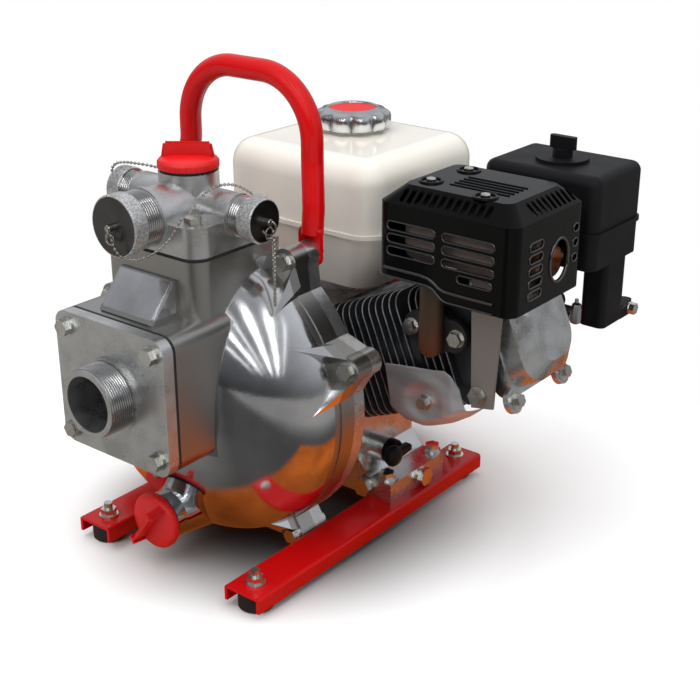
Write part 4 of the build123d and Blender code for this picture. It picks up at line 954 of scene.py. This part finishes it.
def make_guard_trim():
    """Rolled lips round the guard's slots, and the bead pressed along its lower edge, in a metallic grey that
    paints highlights along the black guard's edges.
    """
    guard_low, guard_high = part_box("muffler_guard")
    front_y = guard_low.y / MM
    side_x = (guard_high.x - CRANK_X) / MM

    def on_front(u, v):
        return at(u, front_y - 0.1, v)

    def on_side(u, v):
        return at(side_x + 0.1, u, v)

    columns = ((175, 48), (232, 50))
    slots = [pill((x, 319 - 11 * k), wide + 1, 7.6, on_front) for x, wide in columns for k in range(3)]
    slots.append(pill((239, 286), 34, 7, on_front))
    slots += [pill((20.5, 317 - 10.5 * k), 21, 7.2, on_side) for k in range(5)]
    slots += [pill((84, z), 9, 7, on_side) for z in (317, 304, 290.5)]
    hole = [on_side(58.5 + 15 * cos(2 * pi * k / 40), 295 + 19 * sin(2 * pi * k / 40)) for k in range(40)]
    # the lips, bead and rolled edge take a metallic grey that paints highlights on the black guard
    wire("guard_slot_lips", slots, 0.75, "painted_highlight_edge", "frame")
    wire("guard_hole_lip", [hole], 1.3, "painted_highlight_edge", "frame")
    bead = [
        (148, 281), (186, 281), (194, 280), (199, 277.5), (205, 273.5), (211, 271.8), (222, 271.5),
        (258, 271.5)
    ]
    wire(
        "guard_bead", [[on_front(*p) for p in bead]], 1.5, "painted_highlight_edge", "frame", closed=False
    )
    rim = [(141, 273.4), (192, 273.4), (198, 272), (207, 264.6), (213, 262.9), (258, 262.9)]
    wire(
        "guard_rolled_edge", [[on_front(*p) for p in rim]], 1.1, "painted_highlight_edge", "frame",
        closed=False
    )


def make_guard_top():
    """Three dished screw seats with their screws, and five raised ribs on the guard's roof."""
    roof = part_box("muffler_guard")[1].z / MM
    dishes = ((170, 22), (232, 10), (176, 70))
    rings = [ring(at(x, y, roof), Z, 9.5, 1.6, 40) for x, y in dishes]
    screws = [turned(at(x, y, roof), Z, [(4.6, -0.5), (4.6, 2.2), (3.8, 3)], 6) for x, y in dishes]
    add_piece(
        "guard_screw_seats", mesh_of("guard_screw_seats", *join(*rings)), "black_paint", "frame",
    )
    add_piece("guard_screws", mesh_of("guard_screws", *join(*screws)), "zinc", "frame")
    ribs = [[at(x, 24 + 7 * k, roof - 0.3) for x in (188, 246)] for k in range(5)]
    wire("guard_roof_ribs", ribs, 1.3, "black_paint", "frame", closed=False)


# Cylinder -----------------------------------------------------------------------------------------

TILT = radians(22.5)


def by_bore(distance, up, aside):
    """A point placed from the cylinder's axis: along it, up across it, and towards -Y."""
    return at(
        distance * cos(TILT) - up * sin(TILT),
        60 - aside,
        128 + distance * sin(TILT) + up * cos(TILT),
    )


def rounded_outline(wide, high, corner, place):
    outline = []
    for k, (sx, sy) in enumerate(((1, 1), (-1, 1), (-1, -1), (1, -1))):
        for step in range(5):
            turn = radians(90 * k + 90 * step / 4)
            u = sx * (wide / 2 - corner) + corner * cos(turn)
            v = sy * (high / 2 - corner) + corner * sin(turn)
            outline.append(place(u, v))
    return outline


def make_fin_edges():
    """Bare metal along the edge of each fin, where its black paint was machined off."""
    loops = []
    for distance in [87.1 + 8.2 * k for k in range(11)] + [184.1 + 8.2 * k for k in range(4)]:
        loops.append(rounded_outline(112, 88, 14, lambda u, v: by_bore(distance, u - 1, v)))
    wire("fin_edges", loops, 0.62, "fin_edge", "frame")


SHROUD_TOP = [
    (0, 132, 179), (0.3, 156, 182.5), (0.62, 184, 186), (0.8, 197, 188.5), (0.88, 203.3, 185), (1, 210.5, 172)
]
SHROUD_LOW = [
    (0, 141, 131), (0.2, 152, 122), (0.42, 172, 121), (0.66, 192, 130), (0.85, 207, 140), (1, 216, 150)
]


def along_line(points, share):
    """The place a share of the way along (share, x, z) points."""
    for (s0, x0, z0), (s1, x1, z1) in zip(points, points[1:]):
        if share <= s1:
            f = (share - s0) / (s1 - s0)
            return x0 + (x1 - x0) * f, z0 + (z1 - z0) * f
    return points[-1][1:]


DISH_X, DISH_Z, DISH_RADIUS, DISH_DEPTH = 176, 152, 22, 2.6


def make_shroud():
    """A pressed sheet under the fins: a dish round its bolt, and a lower edge that curls back."""
    columns, rows = 40, 30
    points, faces = [], []
    for i in range(columns + 1):
        u = i / columns
        top, low = along_line(SHROUD_TOP, u), along_line(SHROUD_LOW, u)
        for j in range(rows + 1):
            v = j / rows
            flare = max(0, u - 0.82) / 0.18 * 3 * v * v
            x = top[0] + (low[0] - top[0]) * v + flare
            z = top[1] + (low[1] - top[1]) * v
            away = hypot(x - DISH_X, (z - DISH_Z) * 1.15)
            y = 9.8 + DISH_DEPTH * max(0, 1 - (away / DISH_RADIUS) ** 2) ** 1.5
            y -= 1.1 * max(0, 1 - ((away - 25) / 9) ** 2)
            y += 6 * max(0, u - 0.84) / 0.16
            curl = max(0, v - 0.8) / 0.2
            points.append(at(x, y + 30 * curl * curl, z - 4 * curl))
    for i in range(columns):
        for j in range(rows):
            a = i * (rows + 1) + j
            faces.append((a, a + 1, a + rows + 2, a + rows + 1))
    mesh = mesh_of("shroud_sheet", points, faces, 80)
    sheet = add_piece("shroud_sheet", mesh, "sheet_steel", "frame", ("cylinder_shroud",))
    wall = sheet.modifiers.new("wall", "SOLIDIFY")
    wall.thickness = 1.2 * MM
    smooth = sheet.modifiers.new("smooth", "SUBSURF")
    smooth.levels = smooth.render_levels = 1


# Small parts of the engine ------------------------------------------------------------------------


def make_exhaust_ends():
    """The muffler's outlet behind the guard's round hole, and the rounded foot of its pipe."""
    outlet = turned(
        at(252, 60, 293), X,
        [(9, 0), (15.5, 0), (15.5, 16), (14.6, 18.5), (12.6, 18.5), (12.2, 4), (2, 3.6)], 48
    )
    add_piece("muffler_outlet", mesh_of("muffler_outlet", *outlet), "outlet_steel", "frame")
    foot = turned(
        at(186, 4, 211.2), -Z, [(10.5, -2), (10.5, 0), (10, 3), (8.4, 6), (5.8, 8.2), (2.4, 9.3)], 40
    )
    add_piece("exhaust_pipe_foot", mesh_of("exhaust_pipe_foot", *foot), "exhaust", "frame")


def make_dipstick():
    """A black screw-in dipstick head: a round boss with a short flat grip."""
    centre = at(105.3, 55, 64)
    collar = turned(centre, X, [(11, 0), (12, 0.8), (12, 6.4), (11, 8)], 48)
    boss = turned(
        at(112, 45.5, 65), X, [(6, 0), (9.4, 1.5), (10.6, 4.5), (10.2, 8), (8, 10.6), (4, 12), (1, 12.3)], 48
    )
    shank = turned(centre, X, [(8.7, -25), (8.7, 0.2)], 32)
    mesh = mesh_of("dipstick_head", *join(collar, boss, shank), 50)
    add_piece("dipstick_head", mesh, "black_plastic", "dipstick", ("oil_dipstick",))
    grip = bmesh.new()
    bmesh.ops.create_cube(grip, size=2)
    for vertex in grip.verts:
        outer = vertex.co.y > 0
        tall = (3.4 if outer else 6.5) * vertex.co.z
        vertex.co = at(117 + 4.4 * vertex.co.x, 71.5 if outer else 46, 65.5 + tall)
    bmesh.ops.bevel(
        grip, geom=list(grip.edges), offset=1.4 * MM, segments=4, affect="EDGES", clamp_overlap=True
    )
    mesh = bpy.data.meshes.new("dipstick_grip")
    grip.to_mesh(mesh)
    grip.free()
    for face in mesh.polygons:
        face.use_smooth = True
    mesh.set_sharp_from_angle(angle=radians(40))
    add_piece("dipstick_grip", mesh, "black_plastic", "dipstick")


def make_engine_fittings():
    """Two steel pins and a small clamp beside the intake."""
    pin = turned(at(236, 141, 219), X, [(2.6, 0), (3.1, 0.6), (3.1, 15), (2.6, 15.6)], 24)
    collar = turned(at(238, 141, 212), X, [(4, 0), (4.6, 0.6), (4.6, 9), (4, 9.6)], 24)
    add_piece("intake_pins", mesh_of("intake_pins", *join(pin, collar)), "zinc", "frame")
    clamp = turned(
        at(251.5, 141, 206), Z, [(3, 0), (5, 1.2), (5.4, 4), (5.4, 15), (4.2, 19), (2, 20.4), (1.8, 24)], 8
    )
    add_piece("intake_clamp", mesh_of("intake_clamp", *clamp, 20), "machined", "frame")


# Everything ---------------------------------------------------------------------------------------

make_camera()
make_studio()
make_chains()
dress_nodes()
make_threads()
make_caps()
make_fuel_cap()
make_guard_trim()
make_guard_top()
make_fin_edges()
make_shroud()
make_exhaust_ends()
make_dipstick()
make_engine_fittings()
